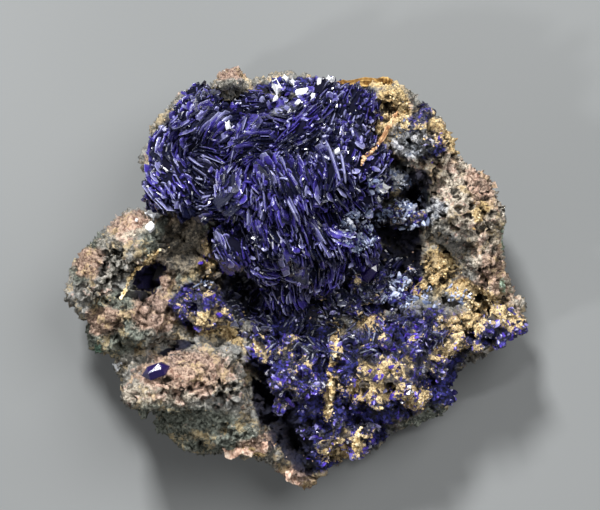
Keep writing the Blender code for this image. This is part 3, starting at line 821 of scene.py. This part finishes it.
def pelt_rule(material_name):
    """Blades standing all over a mass, following its grain and leaning as its lean trait says."""
    r = Rule(f"pelt_{material_name}", Spacing=0.6, Density=2.2, Upright=0.55, Lean=20.0, Stray=7.0, Tip=6.0,
             Shortest=0.5, Longest=1.9, Deepest=1.5, Proud=1.0, Thinnest=0.06, Thickest=0.15, Seed=SEED,
             Blade_a="",
             Blade_b="", Blade_c="")
    t = r.tree
    points = spread(r)[0]
    upright = shift(t, shift(t, r.trait("facing", "FLOAT_VECTOR"), 1 - r.size("Upright"), "SCALE"),
                    r.node("ShaderNodeCombineXYZ", None, {"Z": r.size("Upright")}))
    normal = shift(t, upright, operation="NORMALIZE")
    degrees = math.pi / 180
    spine = r.trait("spine", "FLOAT_VECTOR")
    across = shift(t, normal, spine, "CROSS_PRODUCT")
    spine = shift(t, shift(t, across, normal, "CROSS_PRODUCT"), operation="NORMALIZE")

    def turned(vector, axis, angle):
        return r.node("ShaderNodeVectorRotate", {"rotation_type": "AXIS_ANGLE"},
                      {"Vector": vector, "Axis": axis, "Angle": angle * degrees})

    out = turned(normal, spine, r.trait("lean") * r.size("Lean") + r.chance(-1.0, 1.0, 2) * r.size("Tip"))
    along = turned(spine, out, r.chance(-1.0, 1.0, 3) * r.size("Stray"))
    scale = r.trait("scale")
    length = (r.chance(0.0, 1.0, 4) ** 1.4 * (r.size("Longest") - r.size("Shortest")) + r.size("Shortest")) * scale
    width = r.size("Deepest") * r.chance(0.6, 1.0, 5) * scale
    rise = r.size("Proud") * r.chance(0.35, 1.0, 6) * scale - width
    moved = r.node("GeometryNodeSetPosition", None, {"Geometry": points,
                                                     "Offset": shift(t, out, rise * MM, "SCALE")})
    turn = r.node("FunctionNodeAxesToRotation", {"primary_axis": "X", "secondary_axis": "Y"},
                  {"Primary Axis": along, "Secondary Axis": out})
    size = r.node("ShaderNodeCombineXYZ", None, {
        "X": length * MM, "Y": width * MM, "Z": r.chance(r.size("Thinnest"), r.size("Thickest"),
                                                         8) * MM * scale})
    shapes, index = choice(r, ("Blade_a", "Blade_b", "Blade_c"), 9)
    r.end(finish_instances(r, moved, shapes, index, turn, size, material_name))
    return r


def scatter_rule(material_name):
    """Short crystals strewn over a surface where it allows growth, each leaning a little off its normal."""
    r = Rule(f"strewn_{material_name}", Density=1.0, Spacing=0.5, Smallest=0.25, Largest=0.8, Tall=1.3,
             Lean=40.0,
             Sink=0.25, Seed=SEED, Stub_a="", Stub_b="", Stub_c="")
    t = r.tree
    points, normal, facing = spread(r)
    size = (r.chance(0.0, 1.0, 1) ** 1.8 * (r.size("Largest") - r.size("Smallest")) + r.size("Smallest")) * MM
    lean = shift(t, r.chance((-1, -1, -1), (1, 1, 1), 2, "FLOAT_VECTOR"), r.size("Lean") * math.pi / 180,
                 "SCALE")
    turn = r.node("FunctionNodeRotateRotation", {"rotation_space": "LOCAL"},
                  {0: facing,
                   1: r.node("FunctionNodeEulerToRotation", None, {0: lean})})
    spun = r.node("FunctionNodeRotateRotation", {"rotation_space": "LOCAL"}, {
        0: turn, 1: r.node("FunctionNodeAxisAngleToRotation", None,
                           {"Axis": (0, 0, 1), "Angle": r.chance(0.0, 6.283, 3)})})
    scale = r.node("ShaderNodeCombineXYZ", None, {
        "X": size * r.chance(0.7, 1.0, 4), "Y": size * r.chance(0.4, 1.0, 5),
        "Z": size * r.size("Tall") * r.chance(0.6, 1.3, 6)})
    sunk = shift(t, normal, r.size("Sink") * MM * -1, "SCALE")
    moved = r.node("GeometryNodeSetPosition", None, {"Geometry": points, "Offset": sunk})
    shapes, index = choice(r, ("Stub_a", "Stub_b", "Stub_c"), 7)
    r.end(finish_instances(r, moved, shapes, index, spun, scale, material_name))
    return r


ROSETTE_HEART = (-2, 11, 8)
ROSETTE_FANS = [
    ((-4.5, 17.5, 26), 4.7, 28),
    ((0.5, 19, 27), 4.7, 25),
    ((3.5, 23, 24), 4.0, 50),
    ((7.5, 22, 24), 4.1, 65),
    ((-6.5, 11.5, 26), 4.4, 80),
    ((-1.5, 12, 28.5), 5.4, 100),
    ((4, 13.5, 27.5), 4.9, 115),
    ((-1.5, 6.5, 25.5), 5.2, 110),
    ((3.5, 6.5, 23.5), 4.4, 122),
    ((-8, 4.5, 22), 3.6, 115),
    ((-3.5, 2.5, 20.5), 3.8, 150),
    ((-1.5, -1.5, 15.5), 3.6, 105),
    ((9, 15.5, 25), 3.9, 60),
    ((7.5, 10.5, 22.5), 3.6, 130),
    ((3.5, 1, 17), 3.3, 60),
    ((-12.5, 20.5, 22.5), 4.7, 52),
    ((-17, 17.5, 20), 3.3, 75),
    ((-11, 15.5, 23), 3.6, 150),
    ((-16, 12.5, 22), 4.4, 120),
    ((-11, 11, 21.5), 3.9, 5),
    ((-18.5, 11, 17), 2.3, 90),
    ((-5.5, 22.5, 21.5), 3.0, 0),
    ((-13, 24, 19.5), 2.5, 45),
    ((11, 12.5, 21), 2.2, 70),
    ((8, 5, 19), 3.6, 120),
    ((1.5, 2, 19.5), 3.8, 100),
    ((6.5, 18, 26.5), 3.9, 60),
    ((-4, 21.5, 22.5), 3.2, 10),
    ((-8.5, 20, 22), 3.6, 35),
]

# Where the rosette is sugary, with small blocky crystals and few long blades.
SUGARY = [((6, 20), (8, 6), 0), ((-17, 11), (5, 5), 0), ((11, 14), (3, 6), 0), ((-13, 24), (4, 3), 0)]


def set_books(mesh, grain, facing, lean, size, breadth, tilt, swirl, seed):
    """Groups the mesh into books of blades that share a turn, a tilt and a height; stores what pelts read."""
    points = vertex_array(mesh)
    draw = np.random.default_rng(seed)
    count = max(4, int(sum(p.area for p in mesh.polygons) / (breadth * MM) ** 2))
    middles = points[draw.choice(len(points), min(count, len(points)), replace=False)]
    book = ((points[:, None, :] - middles[None]) ** 2).sum(2).argmin(1)
    grain = grain + draw.normal(0, swirl, count)[book]
    set_direction(mesh, "spine", np.stack([np.cos(grain), np.sin(grain), np.zeros(len(points))], 1))
    set_direction(mesh, "facing", facing)
    set_trait(mesh, "lean", lean + draw.normal(0, tilt, count)[book])
    set_trait(mesh, "scale", size * draw.uniform(0.7, 1.25, count)[book])


def grow_fans(mesh, heart, fans):
    """Stores on a mass the grain of its nearest fans, how far its blades lean, and how big they are."""
    points = vertex_array(mesh)
    centres = np.array([in_frame(f[0]) for f in fans])
    radii = np.array([f[1] for f in fans]) * MM
    angles = np.radians([f[2] for f in fans])
    faces = centres - np.array(in_frame(heart))
    faces /= np.linalg.norm(faces, axis=1)[:, None]
    away = points[:, None, :] - centres[None]
    weight = np.exp(-((np.linalg.norm(away, axis=2) / (0.75 * radii)) ** 2)) + 1e-12
    swirl = np.stack([np.cos(2 * angles), np.sin(2 * angles)], 1)
    blend = (weight[:, :, None] ** 1.5 * swirl[None]).sum(1)
    wander = noise_values(points / MM * 0.22) * 0.35
    grain = np.arctan2(blend[:, 1], blend[:, 0]) / 2 + wander
    nearest = weight.argmax(1)
    spines = np.stack([np.cos(angles), np.sin(angles), np.zeros(len(fans))], 1)
    sides = np.cross(spines, faces)
    offset = np.einsum("ij,ij->i", away[np.arange(len(points)), nearest], sides[nearest]) / radii[nearest]
    ripple = noise_values(points / MM * 0.35 + 9)
    facing = points - np.array(in_frame(heart))
    facing /= np.linalg.norm(facing, axis=1)[:, None]
    open_side = (normal_array(mesh) * (facing * 0.6 + (0, 0, 0.4))).sum(1)
    set_trait(mesh, "open_side", np.clip((open_side - 0.1) / 0.3, 0, 1))
    set_books(mesh, grain, facing, np.clip(-offset, -1.3, 1.3) * 0.5 + ripple * 0.4,
              np.clip(radii[nearest] / MM / 4.4, 0.55, 1.1), 2.1, 1.0, 0.24, SEED)


def joined(name, meshes):
    """The meshes as one object, with their materials and traits kept."""
    parts = [new_object(f"{name}_part", mesh) for mesh in meshes]
    with bpy.context.temp_override(active_object=parts[0], object=parts[0], selected_objects=parts,
                                   selected_editable_objects=parts):
        bpy.ops.object.join()
    parts[0].name = name
    parts[0].data.name = name
    return parts[0]


# The rosette's mass, in millimetres, and its balls' share of the fans' reach.
CORE_VOXEL = 0.6
CORE_SHRINK = 0.9
MASS_VOXEL = 0.45
BALL_SHARE = 0.86

BLADES = dict(zip(("Blade_a", "Blade_b", "Blade_c"), BLADE_SHAPES))
STUBS = dict(zip(("Stub_a", "Stub_b", "Stub_c"), STUB_SHAPES))
LUMPS = dict(zip(("Stub_a", "Stub_b", "Stub_c"), LUMP_SHAPES))


def ball_mass(solid, fans):
    """A smooth mass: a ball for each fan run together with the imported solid, shrunk."""
    core = remeshed(merged_copy(solid), CORE_VOXEL, (0.8, 14), -CORE_SHRINK)
    balls = [(fan[0], (fan[1] * BALL_SHARE,) * 3) for fan in fans]
    return remeshed(add_balls(core, balls), MASS_VOXEL, (0.6, 5))


def make_cluster(name, solid, heart, fans, material):
    """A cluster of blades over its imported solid: large ones along the fans' grain, small ones between."""
    mass = ball_mass(solid, fans)
    grow_fans(mass, heart, fans)
    points = vertex_array(mass)
    held = trait_array(mass, "open_side")
    set_trait(mass, "growth", held * (1 - 0.6 * patch_mask(points, SUGARY)))
    ground = new_object("ground", mass)
    rule = pelt_rule(material.name)
    large = rule.apply(ground, **BLADES, Spacing=0.5, Density=3.4, Shortest=0.5, Longest=2.2)
    set_trait(mass, "growth", held)
    sugar = scatter_rule(material.name).apply(ground, **STUBS, Spacing=0.7, Density=0.8, Smallest=0.15,
                                              Largest=0.5, Sink=-0.25, Seed=SEED + 12)
    faced = rule.apply(ground, **BLADES, Spacing=1.3, Density=0.5, Shortest=0.5, Longest=1.1, Deepest=0.8,
                       Proud=0.9,
                       Stray=45.0, Tip=50.0, Thinnest=0.1, Thickest=0.22, Seed=SEED + 9)
    set_trait(mass, "growth", held * (0.12 + 0.88 * patch_mask(points, SUGARY)))
    small = rule.apply(ground, **BLADES, Spacing=0.5, Density=3.2, Shortest=0.22, Longest=0.7, Deepest=0.7,
                       Proud=1.0,
                       Stray=35.0, Tip=32.0, Thinnest=0.08, Thickest=0.18, Seed=SEED + 5)
    bpy.data.objects.remove(ground)
    mass.materials.append(ROOT_SHADE_BLUE)
    return joined(name, [mass, large, small, faced, sugar])


def strewn(mesh, held, material, shapes, **sizes):
    """Small shapes scattered on a mesh where its growth allows."""
    set_trait(mesh, "growth", held)
    ground = new_object("ground", mesh)
    made = scatter_rule(material.name).apply(ground, **shapes, **sizes)
    bpy.data.objects.remove(ground)
    return made


BED_RELIEF = 0.9
BED_VOXEL = 0.3


def make_druse(name, solid, material, seed, largest=0.55, ochre=-0.45):
    """A druse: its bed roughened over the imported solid, with crystals and crumbs of ochre strewn on it."""
    mesh = remeshed(merged_copy(solid), BED_VOXEL)
    bumps = roughen(mesh, 0.55, 0.6, 2.4, 0.25, BED_RELIEF)
    high = np.clip((bumps + 0.3) / 0.35, 0, 1)
    # The low places are kept as "cavity", which the bed's finish darkens to near black as painted shade.
    set_trait(mesh, "cavity", 1 - high)
    paint(mesh)
    crystals = strewn(mesh, growth(mesh, "", 0.42, -0.3, 0.0, seed, -0.5) * high, material, STUBS,
                      Spacing=0.34, Density=7.0, Smallest=0.12, Largest=largest, Seed=seed)
    crumbs = strewn(mesh, growth(mesh, "ochre", 0.5, ochre, ochre + 0.2, seed + 40) * high, OCHRE_CRUMB,
                    LUMPS,
                    Spacing=0.28, Density=6.0, Smallest=0.08, Largest=0.26, Tall=1.0, Sink=0.03,
                    Seed=seed + 1)
    mesh.materials.append(BED)
    return joined(name, [mesh, crystals, crumbs])


def seat_of(*objects):
    """A tree of the objects' faces, for finding what lies under a point."""
    points, faces = [], []
    for obj in objects:
        first = len(points)
        points += [v.co for v in obj.data.vertices]
        faces += [[first + i for i in p.vertices] for p in obj.data.polygons]
    return BVHTree.FromPolygons(points, faces)


def draped(name, seat, patches):
    """A cloth laid from above on what stands under the patches, to grow crystals on."""
    step = 0.35
    place, points, faces = {}, [], []
    for (x, y), (half_x, half_y), turn in patches:
        reach = int(max(half_x, half_y) / step) + 1
        c, s = math.cos(math.radians(turn)), math.sin(math.radians(turn))
        for i in range(-reach, reach + 1):
            for j in range(-reach, reach + 1):
                u, v = (i * c + j * s) * step / half_x, (j * c - i * s) * step / half_y
                key = (round(x / step) + i, round(y / step) + j)
                if u * u + v * v > 1 or key in place:
                    continue
                hit = ground_under(seat, key[0] * step, key[1] * step)
                if hit is not None:
                    place[key] = len(points)
                    points.append(hit)
    for i, j in place:
        ring = [place.get(k) for k in ((i, j), (i + 1, j), (i + 1, j + 1), (i, j + 1))]
        if None not in ring:
            heights = [points[k].z for k in ring]
            if max(heights) - min(heights) < 1.2 * MM:
                faces.append(ring)
    return mesh_of(name, points, faces)


GEM_CORNERS = [(1, 0, 0.05), (-1, 0, -0.05), (0.5, 0.85, 0), (0.55, -0.8, 0.05), (-0.55, 0.8, 0),
               (-0.5, -0.85, 0),
               (0.4, 0.4, 0.85), (0.45, -0.35, 0.8), (-0.4, 0.45, 0.75), (-0.45, -0.4, 0.9), (0.4, 0.4, -0.8),
               (0.4, -0.4, -0.8), (-0.4, 0.4, -0.8), (-0.4, -0.4, -0.8), (0.75, 0.1, 0.5),
               (-0.75, 0.05, 0.45)]


def gem(name, centre, axes, half):
    """A glossy crystal pointed at both ends: its corners' hull, scaled along its axes."""
    bm = bmesh.new()
    for corner in GEM_CORNERS:
        spot = Vector(centre)
        for axis, share, reach in zip(axes, corner, half):
            spot += Vector(axis) * share * reach
        bm.verts.new(spot)
    bmesh.ops.convex_hull(bm, input=bm.verts)
    bmesh.ops.recalc_face_normals(bm, faces=bm.faces)
    mesh = bpy.data.meshes.new(name)
    bm.to_mesh(mesh)
    bm.free()
    mesh.materials.append(GEM_BLUE)
    return mesh


LONE_ROLL = math.radians(20)
LONE_SHARE = np.array([0.92, 1.25, 1.1])


def lone_gem():
    """The lone crystal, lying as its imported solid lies."""
    points = vertex_array(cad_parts["azurite_lone_crystal"].data)
    centre = (points.min(0) + points.max(0)) / 2
    axes = np.linalg.svd(points - points.mean(0))[2]
    half = np.abs((points - centre) @ axes.T).max(0)
    c, s = math.cos(LONE_ROLL), math.sin(LONE_ROLL)
    axes = axes[0], axes[1] * c + axes[2] * s, axes[2] * c - axes[1] * s
    half = half * LONE_SHARE
    return new_object("azurite_lone_gem", gem("azurite_lone_gem", centre, axes, half))


rock = make_rock()
rosette = make_cluster("azurite_rosette_blades", "azurite_rosette", ROSETTE_HEART, ROSETTE_FANS, ROSETTE_BLUE)
ledge = make_druse("azurite_ledge_crystals", "azurite_ledge", LEDGE_BLUE, 27, 0.65, 0.1)
shoulder = make_druse("azurite_shoulder_crystals", "azurite_shoulder", INK_AND_SHADE_BLUE, 28, 0.42, 0.0)

DRUSES = {
    "azurite_druse_left": 21, "azurite_druse_foot": 22, "azurite_druse_middle": 23,
    "azurite_druse_right": 24, "azurite_druse_pocket": 25, "azurite_vug_crust": 26,
}
druses = [(make_druse(f"{solid}_crystals", solid, INK_AND_SHADE_BLUE if "vug" in solid else DRUSE_BLUE, seed), solid)
          for solid, seed in DRUSES.items()]


BAND = [((17.5, -2.6), (6.5, 1.6), 4), ((13.6, -0.6), (2.0, 1.5), 0), ((8.4, 6.8), (3.2, 2.8), 30),
        ((13.4, 13.4), (2.2, 1.6), 0),
        ((11.0, 12.6), (2.0, 1.3), 20), ((14.2, 9.4), (4.0, 1.5), 38), ((-12.5, -0.6), (1.3, 0.9), 0)]
VUG = [((2, -5), (11, 4.6), 8), ((9, 0.6), (6, 3.2), 20), ((19.5, -6.2), (3.5, 2.0), 20),
       ((11, -5), (5, 2.4), 0), ((4, -8.3), (8, 3), -8),
       ((-6.4, -2.4), (3.2, 3.2), 0)]

seat = seat_of(rock, ledge, *[piece for piece, _ in druses])
seat_all = seat_of(rock, ledge, rosette, *[piece for piece, _ in druses])


def make_band():
    """Grey-blue sugary crystals along the vug's rim and beside the rosette."""
    cloth = draped("band_cloth", seat_all, BAND)
    held = growth(cloth, "", 0.6, -0.45, -0.1, 2.2, -0.9)
    mesh = strewn(cloth.copy(), held, LEDGE_BLUE, STUBS, Spacing=0.28, Density=10.0, Smallest=0.14,
                  Largest=0.5,
                  Lean=55.0, Sink=0.05, Seed=41)
    return new_object("azurite_band_crystals", mesh)


def make_vug_blades():
    """Books of dark blades over the floor of the vug, their darkness painted shade, with one large violet crystal.
    """
    cloth = draped("vug_cloth", seat, VUG)
    points = vertex_array(cloth)
    swirl = noise_values(points / MM * 0.18) * 4
    set_books(cloth, swirl, np.tile([0.05, 0.25, 1.0], (len(points), 1)), 0, 0.85, 1.8, 1.1, 0.7, 43)
    set_trait(cloth, "growth", growth(cloth, "", 0.4, -0.3, 0.0, 4.4, -0.9))
    ground = new_object("ground", cloth)
    mesh = pelt_rule(INK_AND_SHADE_BLUE.name).apply(ground, **BLADES, Spacing=0.45, Density=3.2, Shortest=0.35,
                                          Longest=1.3,
                                          Deepest=0.9, Proud=1.1, Thinnest=0.07, Thickest=0.18, Seed=44)
    bpy.data.objects.remove(ground)
    hit = ground_under(seat, 10.1, 0.6)
    axes = (Vector((0.62, 0.78, 0.1)), Vector((-0.78, 0.62, 0)), Vector((0, -0.1, 1)))
    return joined("azurite_vug_blades", [mesh, gem("vug_gem", hit, axes, (2.2 * MM, 1.3 * MM, 1.1 * MM))])


band = make_band()
vug_blades = make_vug_blades()
lone = lone_gem()


def open_ground(mesh):
    """1 where the rock lies open, 0 in the socket."""
    return 1 - np.clip(patch_mask(vertex_array(mesh), PATCHES["socket"]) * 5, 0, 1)


slab_azurite = new_object("azurite_slab_grains", strewn(
    rock.data.copy(), growth(rock.data, "azure", 0.4, -0.08, 0.1, 3.3), DRUSE_BLUE, STUBS,
    Spacing=0.34, Density=7.0, Smallest=0.12, Largest=0.52, Seed=31))
slab_ochre = new_object("ochre_crust_grains", strewn(
    rock.data.copy(), growth(rock.data, "ochre", 0.45, -0.35, 0.0, 7.7) * open_ground(rock.data),
    OCHRE_CRUMB, LUMPS,
    Spacing=0.28, Density=6.0, Smallest=0.08, Largest=0.26, Tall=1.0, Sink=0.03, Seed=32))
grit = new_object("gossan_grit", strewn(
    rock.data.copy(), growth(rock.data, "", 0.4, -0.1, 0.5, 5.5, -0.9) * open_ground(rock.data), GREY_CRUMB,
    LUMPS,
    Spacing=0.7, Density=0.7, Smallest=0.08, Largest=0.28, Tall=0.9, Sink=0.08, Seed=33))

for shape in BLADE_SHAPES + STUB_SHAPES + LUMP_SHAPES:
    bpy.data.objects.remove(shape)

# Thin ledges of crust standing on the rock: path seen from above, width, height, lift off the ground.
OCHRE_LEDGES = [
    ([(5.7, -5.8), (5.4, -8.4), (5.1, -10.5), (4.6, -13), (4.5, -15.5), (4.5, -17.4), (4.3, -19.4)], 0.55,
     1.0, 0.2),
    ([(11.5, -16.8), (11.3, -18.6), (11.5, -20.4)], 1.0, 1.3, 0.3),
    ([(8.6, -20.1), (8.2, -22), (7.7, -23.6)], 0.9, 1.2, 0.2),
    ([(-18.2, 4.2), (-20, 2.9), (-21.6, 1.6), (-22.7, 0), (-23.6, -3.0)], 0.42, 0.9, 0.3),
]
BROWN_LEDGES = [([(5.5, 26.2), (8, 26.6), (10.5, 26.8), (13.2, 26.4)], 1.3, 1.2, 0.25),
                ([(6.5, 25.9), (9, 26.2), (11, 26.3)], 1.0, 0.5, 0.2)]
RUSTY_LEDGES = [([(8.2, 15.0), (9.6, 16.6), (11.0, 18.2), (12.2, 20.0), (13.4, 22.6)], 0.5, 0.7, 0.0)]
PEACH_LEDGES = [([(-10.0, -22.6), (-8.8, -23.3), (-6.8, -23.5), (-4.6, -22.9), (-3.6, -22.0)], 1.5, 0.6, 0.3),
                ([(-1.6, -26.6), (0.2, -27.6), (1.2, -28.2)], 1.4, 1.2, 0.1)]


def make_ledges(name, rows, material, seat, seed, rough=0.3):
    """Thin jagged ribs of crust following their paths over the ground."""
    draw = random.Random(seed)
    points, faces, sides = [], [], 8
    for path, width, height, lift in rows:
        rings, drift = [], draw.uniform(0, 50)
        for (x0, y0), (x1, y1) in zip(path, path[1:]):
            steps = max(2, round(math.dist((x0, y0), (x1, y1)) / 0.16))
            across = Vector((y0 - y1, x1 - x0, 0)).normalized()
            for i in range(steps):
                spot = Vector((x0 + (x1 - x0) * i / steps, y0 + (y1 - y0) * i / steps, 0))
                spot += across * noise.noise((spot.x * 0.7, spot.y * 0.7, drift)) * 0.6
                hit = ground_under(seat, spot.x, spot.y)
                if hit is not None and (not rings or abs(hit.z - rings[-1][0].z) < 1.5 * MM):
                    rings.append((hit, across, spot))
        for n, (hit, across, spot) in enumerate(rings):
            near = [row[0].z for row in rings[max(0, n - 3):n + 4]]
            base = sum(near) / len(near) + lift * MM
            taper = min(1, (n + 1) / 6, (len(rings) - n) / 6)
            wide = width * taper * (1 + 0.8 * noise.noise((spot.x * 1.1, spot.y * 1.1, drift + 5))) * 0.5
            tall = height * taper * (1 + 1.0 * noise.noise((spot.x * 1.3, spot.y * 1.3, drift + 9))) * 0.5
            first = len(points)
            for k in range(sides):
                a = 2 * math.pi * k / sides
                reach = 1 + draw.uniform(-0.6, 0.6) * rough
                flat = across * math.cos(a) * wide * reach * MM
                points.append((hit.x + flat.x, hit.y + flat.y, base + math.sin(a) * tall * reach * MM))
                if n:
                    j = (k + 1) % sides
                    faces.append([first + k - sides, first + j - sides, first + j, first + k])
            if n in (0, len(rings) - 1):
                faces.append([first + k for k in (range(sides) if n else reversed(range(sides)))])
    mesh = outward(mesh_of(name, points, faces))
    work = new_object(name, mesh)
    finer = work.modifiers.new("finer", "SUBSURF")
    finer.levels = finer.render_levels = 1
    mesh = evaluated_mesh(work)
    bpy.data.objects.remove(work)
    bumps = roughen(mesh, 2.2, 0.7, 2.3, 0, rough)
    set_trait(mesh, "tone", bumps * 0.6 + 0.5)
    mesh.materials.append(material)
    return new_object(name, mesh)


# Milky grains: place seen from above, length and width.
WHITE_GRAINS = [((-19.2, 8.6), 1.2, 1.0), ((-19.6, 7.0), 1.3, 1.1), ((-24.4, -11.9), 0.9, 0.9),
                ((-2.6, 25.6), 1.3, 0.7),
                ((-2.9, 23.7), 1.5, 0.6), ((1.0, 24.8), 1.7, 0.9), ((5.3, 16.7), 0.9, 0.7),
                ((-0.5, 26.2), 0.8, 0.5),
                ((-9.0, 20.4), 0.6, 0.5), ((2.9, -5.5), 0.6, 0.5), ((11.5, 12.2), 1.1, 0.8),
                ((3.0, 26.0), 0.9, 0.5), ((-21.5, 8.0), 0.5, 0.4), ((4.4, 26.4), 0.7, 0.5),
                ((0.2, 23.2), 0.7, 0.5), ((-1.4, 26.8), 0.6, 0.5), ((2.2, 24.0), 0.6, 0.4)]


def make_white_grains(seat):
    """Small angular white crystals, each a cut box lying on the ground."""
    draw = random.Random(5)
    bm = bmesh.new()
    for (x, y), long, wide in WHITE_GRAINS:
        hit = ground_under(seat, x, y)
        made = bmesh.ops.create_cube(bm, size=1)["verts"]
        turn = Euler((draw.uniform(-0.6, 0.6), draw.uniform(-0.6, 0.6), draw.uniform(0, 3.1))).to_matrix()
        for vert in made:
            slant = vert.co.z * draw.uniform(0.2, 0.5)
            vert.co = Vector(((vert.co.x + slant) * long, vert.co.y * wide, vert.co.z * wide * 0.9)) * MM
            vert.co = turn @ vert.co + hit + Vector((0, 0, wide * 0.3 * MM))
        edges = list({edge for vert in made for edge in vert.link_edges})
        bmesh.ops.bevel(bm, geom=edges, offset=wide * 0.2 * MM, segments=1, affect="EDGES")
    bmesh.ops.recalc_face_normals(bm, faces=bm.faces)
    mesh = bpy.data.meshes.new("white_grains")
    bm.to_mesh(mesh)
    bm.free()
    mesh.materials.append(WHITE)
    return new_object("white_grains", mesh)


grains = make_white_grains(seat_of(rock, rosette))
ochre_ledges = make_ledges("ochre_ledges", OCHRE_LEDGES, OCHRE_CRUMB, seat_all, 61)
brown_ledges = make_ledges("brown_ledges", BROWN_LEDGES, FLAP_BROWN, seat_all, 63)
rusty_ledges = make_ledges("rusty_ledges", RUSTY_LEDGES, VEIN_RUST, seat_all, 64)
peach_ledges = make_ledges("peach_ledges", PEACH_LEDGES, PEACH_CRUMB, seat, 62, 0.14)

# ---------------------------------------------------------------- frame

for piece, solid, finish in [(rock, "matrix", "gossan"), (rosette, "azurite_rosette", "azurite"),
                             (ledge, "azurite_ledge", "azurite"), (shoulder, "azurite_shoulder", "azurite"),
                             *[(piece, solid, "azurite") for piece, solid in druses],
                             (lone, "azurite_lone_crystal", "azurite"),
                             (vug_blades, None, "azurite"), (band, None, "azurite"),
                             (slab_azurite, None, "azurite"), (slab_ochre, None, "gossan"),
                             (grit, None, "gossan"),
                             (grains, None, "gossan"), (ochre_ledges, None, "gossan"),
                             (peach_ledges, None, "gossan"), (brown_ledges, None, "gossan"),
                             (rusty_ledges, None, "gossan")]:
    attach(piece, "root")
    if solid:
        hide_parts(solid)

# ---------------------------------------------------------------- floor, lights and camera


def make_stage():
    f = Finish("pale_floor", 0.9, specular=0.2)
    cloud = f.noise(0.01, 2)
    f.join("Base Color", f.mix(cloud.ease(0.3, 0.7), (0.165, 0.172, 0.173), (0.185, 0.192, 0.193)))
    half = 1.0
    mesh = mesh_of("floor", [(-half, -half, 0), (half, -half, 0), (half, half, 0), (-half, half, 0)],
                   [(0, 1, 2, 3)])
    mesh.materials.append(f.material)
    floor = new_object("floor", mesh)
    floor.location.z = -0.0002


def area_light(name, azimuth, elevation, distance, size, power):
    lamp = bpy.data.lights.new(name, "AREA")
    lamp.size, lamp.energy = size, power
    a, e = math.radians(azimuth), math.radians(elevation)
    towards = Vector((math.cos(a) * math.cos(e), math.sin(a) * math.cos(e), math.sin(e)))
    made = bpy.data.objects.new(name, lamp)
    scene.collection.objects.link(made)
    made.location = towards * distance
    made.rotation_euler = towards.to_track_quat("Z", "Y").to_euler()


make_stage()
area_light("key", 106, 50, 0.5, 0.08, 4.2)
area_light("soft_top", 42, 60, 0.6, 0.3, 2.8)
area_light("spark", 205, 48, 0.5, 0.04, 0.8)
world = bpy.data.worlds.new("studio")
scene.world = world
world.use_nodes = True
world.node_tree.nodes["Background"].inputs["Color"].default_value = (0.5, 0.5, 0.5, 1)
world.node_tree.nodes["Background"].inputs["Strength"].default_value = 0.3
scene.view_settings.view_transform = "Standard"

CAMERA_PLACE = (0.000482, 0.003917, 0.35766)
camera = bpy.data.objects.new("camera", bpy.data.cameras.new("camera"))
scene.collection.objects.link(camera)
camera.data.lens, camera.data.sensor_width = 150, 36
camera.data.clip_start = 0.01
camera.location = CAMERA_PLACE
scene.camera = camera
